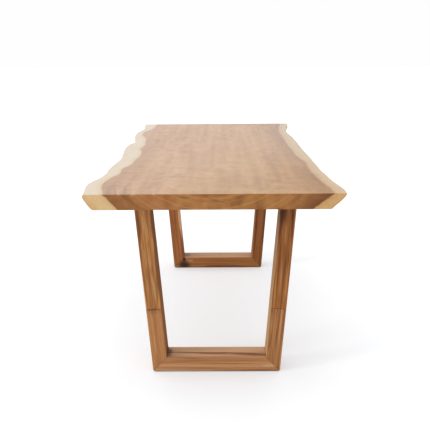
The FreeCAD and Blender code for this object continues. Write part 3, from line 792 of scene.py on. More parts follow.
@dataclass(frozen=True)
class TimberWood:
    """Thin oil finish on one timber of a frame.

    Attributes:
        name: the material's name.
        log_: how the timber lay in its log.
        tones: the colours of its wood.
        joints: the lines at its ends.
        cut: how it was cut, with its own streaks, knots and tint, and its painted light and shade.
    """

    name: str
    log_: Log
    tones: Tones
    joints: tuple[JointLine, ...]
    cut: Cut

    def material(self) -> bpy.types.Material:
        """Builds this timber's finish."""
        cut = self.cut
        wood = WoodShader(self.name, self.log_, self.tones)
        broad, fine = wood.bands(wood.ring, 120.0, 2.0), wood.bands(wood.ring, 380.0)
        streaks = wood.drawn(75.0, 3.0)
        figure = (broad * 0.18 + fine * 0.08 + wood.drawn(9.0, 2.2) * 0.08 + streaks * 0.26
                  + wood.drawn(220.0, 4.0) * 0.20)
        colour = wood.heart(0.5 + figure * cut.contrast + wood.fibre * 0.06, middle=0.5)
        ragged = wood.drawn(120.0, 9.0)
        # Painted light and shade on the faces, by the way that they look.
        colour = wood.lay_face_light_and_shade(colour, cut.face_light_and_shade, streaks)
        colour = wood.veined(colour, cut.veins, ragged)
        colour = wood.knotted(colour, cut.knots, ragged * 0.2, core=0.3)
        colour = wood.tinted(wood.jointed(colour, self.joints), cut.tint)
        colour = wood.scaled(colour, 1.0 - wood.pore * 0.30 + wood.fibre * 0.03)
        roughness = 0.50 + wood.fibre * 0.04 + wood.pore * 0.12
        relief = wood.fibre * 0.3 - wood.pore
        return wood.finish(colour, roughness, relief, depth=0.05 * MM, Specular_IOR_Level=0.27)


@dataclass(frozen=True)
class PlainWood:
    """Unfinished machined hardwood of the hidden joinery."""

    name: str
    pale: Colour
    dark: Colour

    def material(self) -> bpy.types.Material:
        """Builds the finish, with straight fibres and no lacquer."""
        wood = WoodShader(self.name, Log(pith=(0.0, 0.0, 0.9), wander=0.01))
        tone = 0.5 + wood.bands(wood.ring, 400.0) * 0.25 + wood.fibre * 0.2
        colour = wood.mix(tone, self.dark, self.pale)
        return wood.finish(colour, 0.72 + wood.fibre * 0.05, wood.fibre, depth=0.05 * MM)


@dataclass(frozen=True)
class Metal:
    """Turned or plated metal, with fine marks and a little dulling."""

    name: str
    colour: Colour
    roughness: float
    marks: float

    DULLED = 0.8

    def material(self) -> bpy.types.Material:
        """Builds the finish."""
        shader = Shader(self.name)
        turning = shader.clouds(shader.place, (300.0, 300.0, 2600.0))
        dull = shader.clouds(shader.place, (140.0, 140.0, 140.0), 3.0)
        worn = tuple(channel * self.DULLED for channel in self.colour)
        colour = shader.mix(dull.rise(0.0, 1.2), self.colour, worn)
        roughness = self.roughness + dull * 0.08 + turning * self.marks
        return shader.finish(colour, roughness, turning, depth=0.02 * MM, Metallic=1.0)


@dataclass(frozen=True)
class Nylon:
    """Dark moulded nylon of the glides, scuffed where it has slid."""

    name: str
    colour: Colour
    scuffed: Colour

    def material(self) -> bpy.types.Material:
        """Builds the finish."""
        shader = Shader(self.name)
        scratches = shader.clouds(shader.place, (900.0, 120.0, 300.0), 3.0)
        worn = shader.parts(shader.place)[2].rise(0.6 * MM, 0.0) * scratches.rise(-0.2, 0.8)
        colour = shader.mix(worn * 0.6, self.colour, self.scuffed)
        stipple = shader.clouds(shader.place, (2200.0, 2200.0, 2200.0), 1.0)
        return shader.finish(colour, 0.62 + worn * 0.15, stipple, depth=0.03 * MM)


# ---------------------------------------------------------------- the slab


@dataclass(frozen=True)
class Hollow:
    """A dent or crevice in a natural edge.

    Attributes:
        along: its place along the slab, mm.
        down: its place down the edge, 0 at the top and 1 at the underside.
        reach: half its length along the slab, mm.
        height: half its height, as a share of the edge.
        depth: how deep it goes, mm.
        dark: how dark its bottom is, from 0 to 1, as dark bark and painted shade.
    """

    along: float
    down: float
    reach: float
    height: float
    depth: float
    dark: float


# The sets of smooth heights on the natural edges: flutes, ripples and fibre marks. Each has its
# length along the slab in metres, its lumps from the top face to the underside, and its height in mm.
RELIEF = ((0.085, 2.2, 0.9), (0.026, 5.0, 0.35), (0.010, 15.0, 0.12))


@dataclass(frozen=True)
class NaturalEdge:
    """One long edge of the slab, left as it grew.

    Attributes:
        stations: (place along, half width, undercut) down the slab, mm.
        heart: (place along, half width of the heartwood on the top face), mm.
        heart_lean: how far the heartwood draws in for each unit down.
        flank: its section from the top face to the underside, as (share of the thickness down,
            share of the undercut in, extra mm in).
        hollows: its dents and crevices.
        seed: what its fine relief is drawn from.
        sanded: the share of the thickness down to which its top arris is sanded.
        fade: the share over which the natural edge's look comes in below that.
    """

    stations: Rows
    heart: Rows
    heart_lean: float
    flank: Rows
    hollows: tuple[Hollow, ...]
    seed: int
    sanded: float = 0.04
    fade: float = 0.10

    def sapwood(self, across: Array, along: Array, below: Array) -> Array:
        """How far a point lies outside the heartwood.

        The heartwood ends on a plane that leans in going down: the overshoot across, plus the
        lean times the depth, is measured square to that plane.

        Args:
            across: distance from the middle line, out to this side.
            along: place along the slab.
            below: depth under the top face.

        Returns:
            The distance in metres, below 0 inside the heartwood.
        """
        over = across - smooth_through(self.heart, 1, along) + self.heart_lean * below
        return over / math.hypot(1.0, self.heart_lean)

    def relief(self, along: Array, down: Array) -> tuple[Array, Array]:
        """The fine shape of the edge.

        Long flutes, short ripples and fibre marks are three sets of smooth heights, drawn out
        along the slab. Each hollow takes out a bowl, its depth times (1 - r^2)^1.5 with r from 0
        in its middle to 1 at its rim.

        Args:
            along: places along the slab, metres.
            down: places down the edge, 0 to 1.

        Returns:
            How far each point is set back, in metres, and how dark it is, from 0 to 1.
        """
        back = sum(height * (1.0 + Heights(self.seed + step)(along / length, down * lumps))
                   for step, (length, lumps, height) in enumerate(RELIEF)) * MM
        dark = np.zeros_like(back)
        for hollow in self.hollows:
            off = np.hypot((along - hollow.along * MM) / (hollow.reach * MM),
                           (down - hollow.down) / hollow.height)
            bowl = np.clip(1.0 - off * off, 0.0, 1.0) ** 1.5
            back = back + bowl * hollow.depth * MM
            dark = np.maximum(dark, bowl * hollow.dark)
        return back, dark

    def columns(self, along: Array, thickness: float) -> Array:
        """The columns of the edge's points, from the top face to the underside.

        The distance out is the half width, less the section's share of the undercut, less its
        own few millimetres, less the relief. The look of the natural edge fades in below the
        sanded arris.

        Args:
            along: places of the rows.
            thickness: the slab's thickness.

        Returns:
            Four grids of rows x columns: the distance out from the middle line, the depth under
            the top face, how dark a crevice makes the point with its bark and painted shade, and how
            much of its look is the natural edge's own.
        """
        flank = cut_corners(np.array(self.flank), rounds=2)
        down, share, extra = flank[:, 0], flank[:, 1], flank[:, 2] * MM
        rows = along[:, None]
        back, dark = self.relief(rows, np.broadcast_to(down, (len(along), len(down))))
        undercut = smooth_through(self.stations, 2, rows) * share
        out = smooth_through(self.stations, 1, rows) - undercut - extra - back
        bark = np.clip((down - self.sanded) / self.fade, 0.0, 1.0)
        return np.stack(np.broadcast_arrays(out, down * thickness, dark, bark))


@dataclass
class LiveEdgeSlab:
    """The table top: one slab, sawn flat on its faces and ends and left natural along its sides.

    Attributes:
        left, right: its natural edges.
        finish: its finish.
        pitch: spacing of the rows along the slab.
        columns: columns across each flat face, besides the two narrow ones at each side.
        rim, inset: shares of the face's width at which the first two lines inside its side stand.
        arris: radius that the sawn ends are eased to.
        turns: degrees round the arris at which its lines lie.
        spine: half the length of the line that each sawn end closes on.
        rings: how far in towards that line each ring of a sawn face lies.
    """

    left: NaturalEdge
    right: NaturalEdge
    finish: SlabWood
    pitch: float = 6.0 * MM
    columns: int = 56
    rim: float = 0.003
    inset: float = 0.016
    arris: float = 1.2 * MM
    turns: tuple[float, ...] = (22.5, 45.0, 67.5, 90.0)
    spine: float = 330.0 * MM
    rings: tuple[float, ...] = (0.05, 0.2, 0.4, 0.6, 0.8, 1.0)

    def rows(self, half_length: float) -> Array:
        """Places of the rows along the slab, closer near the sawn ends."""
        count = int(2.0 * half_length / self.pitch)
        even = np.linspace(-1.0, 1.0, count)[1:-1] * (half_length - 2.0 * self.arris)
        ends = half_length - np.array([2.0, 1.0]) * self.arris
        return np.concatenate([-ends[::-1], even, ends])

    def build(self) -> bpy.types.Object:
        """Makes the slab in the place of its solid.

        Each row is a loop: over the top face, down the right edge, back along the underside
        and up the left edge. Each sawn end rounds over by its arris, then closes on a line in
        the middle of the thickness.

        Returns:
            The dressed slab.
        """
        low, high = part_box("slab_top")
        half_length = (high.y - low.y) / 2.0
        thickness, top = high.z - low.z, high.z
        along = self.rows(half_length)
        middle = np.linspace(self.inset, 1.0 - self.inset, self.columns)
        share = np.concatenate([[0.0, self.rim], middle, [1.0 - self.rim, 1.0]])
        leftwards = np.array([-1.0, 1.0, 1.0, 1.0])[:, None, None]
        left = self.left.columns(along, thickness) * leftwards
        right = self.right.columns(along, thickness)
        loop = [self.flat_face(left[0, :, :1], right[0, :, :1], share, 0.0), right[:, :, 1:-1],
                self.flat_face(left[0, :, -1:], right[0, :, -1:], share[::-1], thickness),
                left[:, :, -2:0:-1]]
        x, drop, dark, bark = np.concatenate(loop, axis=2)
        body = np.stack([x, np.broadcast_to(along[:, None], x.shape), top - drop], axis=-1)
        side = np.ones(left.shape[2] - 2)
        landing = np.concatenate([share, side, share[::-1], 0.0 * side])
        caps = [self.end_cap(body[row], landing, end * half_length, top - thickness / 2.0)
                for row, end in ((0, -1.0), (-1, 1.0))]
        points = np.concatenate([caps[0][::-1], body, caps[1]])
        margin = [(len(caps[0]), len(caps[1])), (0, 0)]
        fields = {"sapwood": self.sapwood(points, top), "hollow": np.pad(dark, margin),
                  "bark": np.pad(bark, margin)}
        piece = skin("live_edge_slab", points, fields)
        piece.data.materials.append(self.finish.material())
        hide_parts("slab_top")
        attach(piece, "root")
        return piece

    @staticmethod
    def flat_face(left: Array, right: Array, share: Array, depth: float) -> Array:
        """The columns of a flat face, which has none of the natural edges' look.

        Args:
            left, right: x of its two sides, one for each row.
            share: places of the columns, from 0 at the left side to 1 at the right.
            depth: its depth under the top face.

        Returns:
            Four grids like those of a natural edge, with x for the distance out.
        """
        x = left + (right - left) * share
        blank = np.zeros_like(x)
        return np.stack([x, blank + depth, blank, blank])

    def end_cap(self, loop: Array, landing: Array, end: float, middle: float) -> Array:
        """The sawn end that follows a row.

        The arris is a quarter turn from the row to the sawn face: it draws in by its radius
        times 1 - cos while it goes out by its radius times sin. The way in is square to the
        chord between a point's two neighbours in the loop, which runs clockwise as the front
        end sees it. The face's rings then go to a level line in the middle of the thickness.

        Args:
            loop: the last row of the body.
            landing: where each column lands on the middle line, from 0 to 1.
            end: where the sawn face is, along the slab.
            middle: height of the middle line.

        Returns:
            The rows of the cap, from the body outwards and then in to the middle line.
        """
        spine = np.stack([(2.0 * landing - 1.0) * self.spine, np.full(len(loop), end),
                          np.full(len(loop), middle)], axis=-1)
        chord = np.roll(loop, -1, axis=0) - np.roll(loop, 1, axis=0)
        inward = np.stack([chord[:, 2], np.zeros(len(loop)), -chord[:, 0]], axis=-1)
        inward /= np.linalg.norm(inward, axis=1, keepdims=True)
        turn = np.radians(self.turns)[:, None, None]
        outward = math.copysign(1.0, end)
        start = loop * np.array([1.0, 0.0, 1.0]) + np.array([0.0, end - outward * self.arris, 0.0])
        eased = (start + inward * self.arris * (1.0 - np.cos(turn))
                 + np.array([0.0, outward, 0.0]) * self.arris * np.sin(turn))
        face = eased[-1] + (spine - eased[-1]) * np.array(self.rings)[:, None, None]
        return np.concatenate([eased, face])

    def sapwood(self, points: Array, top: float) -> Array:
        """Distance of every point outside the heartwood, from whichever edge is nearer."""
        x, y, z = points[..., 0], points[..., 1], points[..., 2]
        left = self.left.sapwood(-x, y, top - z)
        right = self.right.sapwood(x, y, top - z)
        return np.maximum(left, right)


# ---------------------------------------------------------------- the frames


def dress(node: str, material: bpy.types.Material) -> None:
    """Puts a finish on a node's own solid."""
    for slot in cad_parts[node].material_slots:
        slot.material = material
    log.info("%s: %s", node, material.name)


@dataclass
class EndFrame:
    """One closed frame: a foot rail, a top rail and two legs, each leg glued up from two lengths.

    The timbers keep their solids and get finishes. The lines of the joints follow from a few
    sizes of the frame.

    Attributes:
        end: the end of the table that it carries.
        tones: the colours of its wood.
        centre: its middle across the table.
        foot_half: half its width at the floor.
        foot_height: height of its underside, over the glides.
        slope: how far a leg leans out for each unit up.
        splice: place of the joint in a leg, up from its foot corner.
        splice_width: how far the finish darkens beside that joint.
        splice_dark: how dark its line is, from 0 to 1.
    """

    end: End
    tones: Tones
    centre: float = 8.0 * MM
    foot_half: float = 242.5 * MM
    foot_height: float = 3.0 * MM
    slope: float = 0.0752
    splice: float = 254.0 * MM
    splice_width: float = 1.2 * MM
    splice_dark: float = 0.35

    @property
    def lean(self) -> float:
        """Angle of a leg from upright."""
        return math.atan(self.slope)

    def splice_line(self, side: Side) -> JointLine:
        """The joint in a leg, square to it."""
        out, up = side.value * math.sin(self.lean), math.cos(self.lean)
        point = (self.centre + side.value * self.foot_half + out * self.splice, 0.0,
                 self.foot_height + up * self.splice)
        return JointLine(point, (out, 0.0, up), self.splice_width, self.splice_dark)

    def mitre(self, side: Side, at_top: bool) -> JointLine:
        """The joint between a leg and a rail, which halves the angle between them."""
        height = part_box(f"{self.end.value}_top_rail")[1].z if at_top else self.foot_height
        way = -1.0 if at_top else 1.0
        half = (math.pi / 2.0 + way * self.lean) / 2.0
        out = self.foot_half + self.slope * (height - self.foot_height)
        point = (self.centre + side.value * out, 0.0, height)
        return JointLine(point, (side.value * math.sin(half), 0.0, way * math.cos(half)))

    def log_of(self, node: str, side: Side | None, cut: Cut) -> Log:
        """Lays a log along a timber.

        Args:
            node: the timber's node.
            side: the side of the table that a leg is on, or None for a rail.
            cut: how the timber was cut.

        Returns:
            The log.
        """
        low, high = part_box(node)
        middle = (low + high) / 2.0
        across, behind = cut.offset
        if side is None:
            pith = (middle.x, middle.y + behind, middle.z + across)
            return Log(pith, cut.wander, (0.0, 0.0, -math.pi / 2.0), cut.seed)
        pith = (middle.x + across, middle.y + behind, middle.z)
        return Log(pith, cut.wander, (math.pi / 2.0, side.value * self.lean, 0.0), cut.seed)

    def joints_of(self, part: str, side: Side | None) -> tuple[JointLine, ...]:
        """The joint lines at the two ends of a timber."""
        at_top = part.startswith("top") or part.endswith("upper")
        if side is None:
            return self.mitre(Side.LEFT, at_top), self.mitre(Side.RIGHT, at_top)
        return self.splice_line(side), self.mitre(side, at_top)

    def build(self, cuts: dict[str, Cut]) -> None:
        """Dresses all the timbers of the frame.

        Args:
            cuts: how each timber was cut, by the part of its name after the end's word.
        """
        for part, cut in cuts.items():
            node = f"{self.end.value}_{part}"
            side = None if part.endswith("rail") else Side[part.split("_")[0].upper()]
            finish = TimberWood(f"{node}_wood", self.log_of(node, side, cut), self.tones,
                                self.joints_of(part, side), cut)
            dress(node, finish.material())


# ---------------------------------------------------------------- the studio


@dataclass(frozen=True)
class Sun:
    """A far soft lamp.

    Attributes:
        turn: degrees from the front towards the left that it stands.
        height: degrees above level.
        spread: degrees that it fills, which softens its shadows.
        power: its strength.
    """

    turn: float
    height: float
    spread: float
    power: float

    def hang(self, name: str) -> None:
        """Puts the lamp in the scene."""
        data = bpy.data.lights.new(name, "SUN")
        data.angle, data.energy = math.radians(self.spread), self.power
        turn, height = math.radians(self.turn), math.radians(self.height)
        shine = Vector((math.sin(turn) * math.cos(height), math.cos(turn) * math.cos(height),
                        -math.sin(height)))
        lamp = bpy.data.objects.new(name, data)
        lamp.rotation_euler = shine.to_track_quat("-Z", "Y").to_euler()
        bpy.context.scene.collection.objects.link(lamp)


@dataclass(frozen=True)
class Studio:
    """A plain white studio: a pale floor, a bright surround and two soft lamps.

    Attributes:
        eye: where the camera stands.
        yaw, pitch, roll: its turn to the left, its tilt down and its roll, radians.
        lens, sensor: its focal length and the width of its sensor, mm.
        floor_size: length of the floor's sides.
        floor_colour: its colour.
        floor_glow: how much it shines by itself.
        glow_colour: the colour that it shines in.
        gap_shadow_colour: the colour that it shines in under a foot rail: a painted shadow of the narrow
            gap, where little light comes.
        gap_shadow_fade: how far under the rail's edge that painted shadow becomes full.
        even: light from every side above the floor.
        from_left: more light from the left.
        from_above: more light from overhead.
        horizon: the light comes in between these heights of a direction one long.
        backdrop: how white the camera sees the surround.
        key, rim: the lamps on the left and behind the table.
    """

    eye: Point = (0.02982, -2.85752, 1.2161)
    yaw: float = 0.0104
    pitch: float = 0.26158
    roll: float = -0.00787
    lens: float = 53.815
    sensor: float = 36.0
    floor_size: float = 60.0
    floor_colour: Colour = (0.60, 0.61, 0.625)
    floor_glow: float = 0.335
    glow_colour: Colour = (0.970, 1.0, 1.030)
    gap_shadow_colour: Colour = (0.10, 0.09, 0.08)
    gap_shadow_fade: float = 4.0 * MM
    even: float = 0.80
    from_left: float = 0.57
    from_above: float = 0.66
    horizon: tuple[float, float] = (-0.15, 0.02)
    backdrop: float = 0.99
    key: Sun = Sun(turn=70.0, height=30.0, spread=15.0, power=0.65)
    rim: Sun = Sun(turn=180.0, height=50.0, spread=40.0, power=0.27)

    def camera(self) -> None:
        """Sets up the camera: the columns of its matrix are its right, its up and its back."""
        forward = np.array([-math.sin(self.yaw) * math.cos(self.pitch),
                            math.cos(self.yaw) * math.cos(self.pitch), -math.sin(self.pitch)])
        sideways = np.array([math.cos(self.yaw), math.sin(self.yaw), 0.0])
        over = np.cross(sideways, forward)
        right = math.cos(self.roll) * sideways + math.sin(self.roll) * over
        up = -math.sin(self.roll) * sideways + math.cos(self.roll) * over
        matrix = np.eye(4)
        matrix[:3, 0], matrix[:3, 1], matrix[:3, 2], matrix[:3, 3] = right, up, -forward, self.eye
        data = bpy.data.cameras.new("studio_camera")
        data.sensor_width, data.lens = self.sensor, self.lens
        camera = bpy.data.objects.new("studio_camera", data)
        camera.matrix_world = Matrix(matrix.tolist())
        bpy.context.scene.collection.objects.link(camera)
        bpy.context.scene.camera = camera

    def floor(self) -> None:
        """Lays the floor, which shines a little by itself so that shadows on it stay pale. Under the foot
        rails its glow is painted dark as a shadow of the gap.
        """
        half = self.floor_size / 2.0
        mesh = bpy.data.meshes.new("studio_floor")
        corners = [(-half, -half, 0.0), (half, -half, 0.0), (half, half, 0.0), (-half, half, 0.0)]
        mesh.from_pydata(corners, [], [(0, 1, 2, 3)])
        floor = bpy.data.objects.new("studio_floor", mesh)
        shader = Shader("studio_paper")
        fixed = {"Emission_Strength": self.floor_glow, "Specular_IOR_Level": 0.0}
        mesh.materials.append(shader.finish(self.floor_colour, 0.9, **fixed))
        # The floor's glow turns to a painted shadow under the foot rails.
        glow = shader.mix(self.painted_gap_shadow(shader), self.glow_colour, self.gap_shadow_colour)
        shader.feed(shader.surface.inputs["Emission Color"], glow)
        floor.visible_glossy = False
        bpy.context.scene.collection.objects.link(floor)

    def painted_gap_shadow(self, shader: Shader) -> Field:
        """How much painted shadow lies on a point of the floor, from 0 to 1: full where a foot rail covers
        it.

        Each rail gives a block that falls off over a few millimetres round its outline.
        """
        x, y, _ = shader.parts(shader.place)
        gap_shadow = 0.0
        for end in End:
            low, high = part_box(f"{end.value}_foot_rail")
            middle, half = (low + high) / 2.0, (high - low) / 2.0
            across = (abs(x - middle.x) - half.x).rise(0.0, -self.gap_shadow_fade)
            along = (abs(y - middle.y) - half.y).rise(0.0, -self.gap_shadow_fade)
            gap_shadow = across * along + gap_shadow
        return gap_shadow

    def surround(self) -> None:
        """Sets the light that comes from all round.

        Its strength is even, plus a share towards the left, plus a share that grows with the
        square of the height, and it fades out just under the floor's level. The camera sees it
        plain white.
        """
        world = bpy.data.worlds.new("studio_surround")
        world.use_nodes = True
        nodes = Nodes(world.node_tree)
        x, _, z = nodes.parts(nodes.node("ShaderNodeTexCoord").outputs["Generated"])
        seen = Field(nodes, nodes.node("ShaderNodeLightPath").outputs["Is Camera Ray"])
        light = self.even + (0.0 - x).at_least(0.0) * self.from_left + z * z * self.from_above
        light = light * z.rise(*self.horizon)
        background = world.node_tree.nodes["Background"]
        nodes.feed(background.inputs["Color"], (1.0, 1.0, 1.0))
        nodes.feed(background.inputs["Strength"], light + (self.backdrop - light) * seen)
        bpy.context.scene.world = world

    def build(self) -> None:
        """Sets the whole studio up."""
        bpy.context.scene.view_settings.view_transform = "Standard"
        self.camera()
        self.floor()
        self.surround()
        self.key.hang("key_lamp")
        self.rim.hang("rim_lamp")


# ---------------------------------------------------------------- this table

# The faces that streaks lie on: heights, and places along the table.
TOP = 0.760
RAIL_TOP = 0.060
END_FACE = -0.900
FRONT_FACE = -0.635
REAR_FACE = 0.545


def level(height: float, *rows: tuple[float, ...]) -> tuple[Vein, ...]:
    """Streaks on a level face.

    Args:
        height: where the face is.
        rows: for each streak the two ends, across and along, and half the width, all in mm,
            and how dark it is.

    Returns:
        The streaks.
    """
    return tuple(Vein((a * MM, b * MM, height), (c * MM, d * MM, height), width * MM, dark)
                 for a, b, c, d, width, dark in rows)


def upright(place: float, *rows: tuple[float, ...]) -> tuple[Vein, ...]:
    """Streaks on an upright face across the table.

    Args:
        place: where the face is along the table.
        rows: as for a level face, with each end's places across and up.

    Returns:
        The streaks.
    """
    return tuple(Vein((a * MM, place, b * MM), (c * MM, place, d * MM), width * MM, dark)
                 for a, b, c, d, width, dark in rows)


SLAB_TONES = Tones(pale=(0.47, 0.263, 0.117), middle=(0.355, 0.172, 0.056), dark=(0.205, 0.085, 0.020),
                   stain=(0.105, 0.036, 0.010), sap=(0.55, 0.445, 0.326), sap_line=(0.47, 0.300, 0.135))
# On the frames, sap serves only as the colour of painted light on faces, and dark also as that of painted
# shade.
TIMBER_TONES = Tones(pale=(0.50, 0.240, 0.090), middle=(0.355, 0.148, 0.045), dark=(0.170, 0.056, 0.014),
                     stain=(0.045, 0.015, 0.006), sap=(0.60, 0.37, 0.18), sap_line=(0.5, 0.3, 0.14))
# The rear frame's paler sap is the colour of the painted light on its faces, and its sap_line that of pale
# streaks.
REAR_TONES = replace(TIMBER_TONES, sap=(0.92, 0.72, 0.54), sap_line=(0.85, 0.60, 0.42))

LEFT_EDGE = NaturalEdge(
    stations=(
        (-900, 410, 36), (-850, 415, 34), (-800, 421, 32), (-745, 425, 30), (-700, 418, 31),
        (-650, 405, 33), (-600, 397, 36), (-550, 394, 36), (-500, 397, 35), (-400, 395, 34),
        (-300, 388, 32), (-225, 386, 33), (-165, 391, 34), (-80, 399, 37), (0, 405, 39),
        (75, 408, 39), (140, 402, 37), (190, 389, 35), (240, 389, 33), (300, 396, 33),
        (370, 407, 36), (440, 414, 38), (515, 417, 40), (590, 414, 38), (640, 405, 36),
        (700, 398, 33), (760, 403, 33), (830, 409, 36), (900, 415, 37)),
    heart=(
        (-902, 343), (-743, 369), (-647, 359), (-569, 340), (-471, 342), (-392, 322), (-265, 318),
        (-220, 313), (-75, 317), (14, 333), (69, 325), (207, 332), (294, 339), (478, 376),
        (576, 373), (652, 351), (764, 340), (902, 342)),
    heart_lean=0.90,
    flank=((0.0, 0.0, 7.0), (0.0, 0.0, 4.6), (0.06, 0.0, 1.2), (0.17, 0.0, 0.0), (0.34, 0.10, 0.0),
           (0.58, 0.33, 0.0), (0.80, 0.58, 0.0), (0.95, 0.78, 0.0), (1.0, 0.92, 0.0), (1.0, 1.0, 6.0)),
    hollows=(Hollow(-318, 0.45, 14, 0.22, 3.0, 0.5), Hollow(262, 0.55, 20, 0.25, 3.5, 0.45),
             Hollow(640, 0.40, 12, 0.20, 3.0, 0.55), Hollow(-560, 0.62, 26, 0.16, 2.5, 0.3)),
    seed=11)

RIGHT_EDGE = NaturalEdge(
    stations=(
        (-900, 424, 47), (-850, 426, 46), (-800, 422, 45), (-740, 414, 44), (-680, 408, 43),
        (-610, 405, 42), (-540, 400, 41), (-450, 399, 43), (-350, 398, 45), (-240, 396, 46),
        (-120, 393, 43), (0, 391, 42), (140, 391, 43), (260, 388, 44), (350, 387, 42),
        (420, 383, 40), (500, 377, 39), (560, 378, 38), (620, 385, 37), (680, 394, 39),
        (740, 403, 42), (800, 409, 44), (850, 413, 45), (900, 413, 45)),
    heart=(
        (-902, 385), (-821, 381), (-679, 365), (-541, 357), (-331, 358), (-288, 351), (-100, 340),
        (138, 336), (305, 336), (518, 336), (698, 348), (902, 374)),
    heart_lean=1.34,
    flank=((0.0, 0.0, 3.6), (0.0, 0.0, 1.8), (0.03, 0.0, 0.2), (0.10, 0.02, 0.0), (0.36, 0.23, 0.0),
           (0.60, 0.51, 0.0), (0.80, 0.74, 0.0), (0.97, 0.93, 0.0), (1.0, 0.98, 0.0), (1.0, 1.0, 5.0)),
    hollows=(Hollow(722, 0.25, 34, 0.45, 7.0, 1.0), Hollow(-120, 0.5, 18, 0.2, 3.0, 0.45),
             Hollow(410, 0.6, 24, 0.18, 2.5, 0.35), Hollow(-700, 0.48, 11, 0.2, 2.5, 0.5)),
    seed=23)

SLAB_WOOD = SlabWood(
    log_=Log(pith=(0.0, 0.0, 1.08), wander=0.02, turn=(0.03, 0.0, 0.0), seed=3.0),
    tones=SLAB_TONES,
    heart_end=(0.88, 0.69, 0.43),
    sap_end=(1.09, 0.92, 0.62),
    sap_right=(0.85, 0.745, 0.60),
    knots=(
        Knot((-0.214, -0.292, 0.758), (0.006, 0.009, 0.012), 0.8),
        # This one darkens the crevice at the far right corner, with dark bark and painted shade.
        Knot((0.398, 0.700, 0.752), (0.011, 0.060, 0.030), 0.8)),
    veins=level(
        TOP,
        (360, -950, 300, -300, 60.0, 0.38), (-352, -743, -300, -1040, 16.0, 0.45),
        (-331, -744, -277, -1042, 7.0, 0.60), (-317, -750, -272, -1040, 6.0, -0.40),
        (-295, -740, -251, -1046, 16.0, 0.60), (-270, -660, -232, -1128, 13.0, -0.50),
        (-199, -710, -167, -1090, 10.0, -0.40), (-216, -690, -155, -632, 15.0, 0.60),
        (-157, -668, -103, -546, 9.0, 0.45), (-140, -600, -80, -500, 9.0, -0.45),
        (-200, -604, -170, -531, 22.0, 0.25), (-152, -795, -108, -869, 6.0, 0.40),
        (172, -659, 187, -877, 6.0, 0.40), (172, -106, 186, -659, 12.0, -0.35),
        (255, -727, 276, -893, 5.0, 0.30)
    ) + upright(
        END_FACE,
        (-112, 751, -56, 747, 5.0, 0.9), (-32, 751, 54.5, 728, 4.0, 0.8),
        (50, 751, 118, 749, 3.0, 0.7), (-293, 756, -271, 718, 2.4, 0.9),
        (-279, 756, -256, 717, 2.4, 0.9), (215, 717, 318, 749, 2.4, 0.7),
        (260, 752, 390, 744, 10.0, 0.6)))

# Stains, streaks and painted shade that two timbers share, because they lie on the joint or run across it.
LEFT_SPLICE_STAIN = upright(FRONT_FACE, (-266, 253, -190, 259, 8.0, 0.95))
RIGHT_SPLICE_STREAKS = upright(FRONT_FACE, (231, 458, 213, 230, 3.8, 0.95), (205, 262, 272, 257, 3.5, 0.55))
# Painted shade in the inside corner where the front left leg meets the foot rail, laid on both as a dark
# knot.
LEFT_CORNER_SHADE = Knot((-0.180, -0.590, 0.062), (0.024, 0.050, 0.032), 0.72)
# Painted shade over the whole inner face of a front left leg.
SHADY = FaceLightAndShade(Facing.RIGHT, -0.35, -0.2, -0.1)

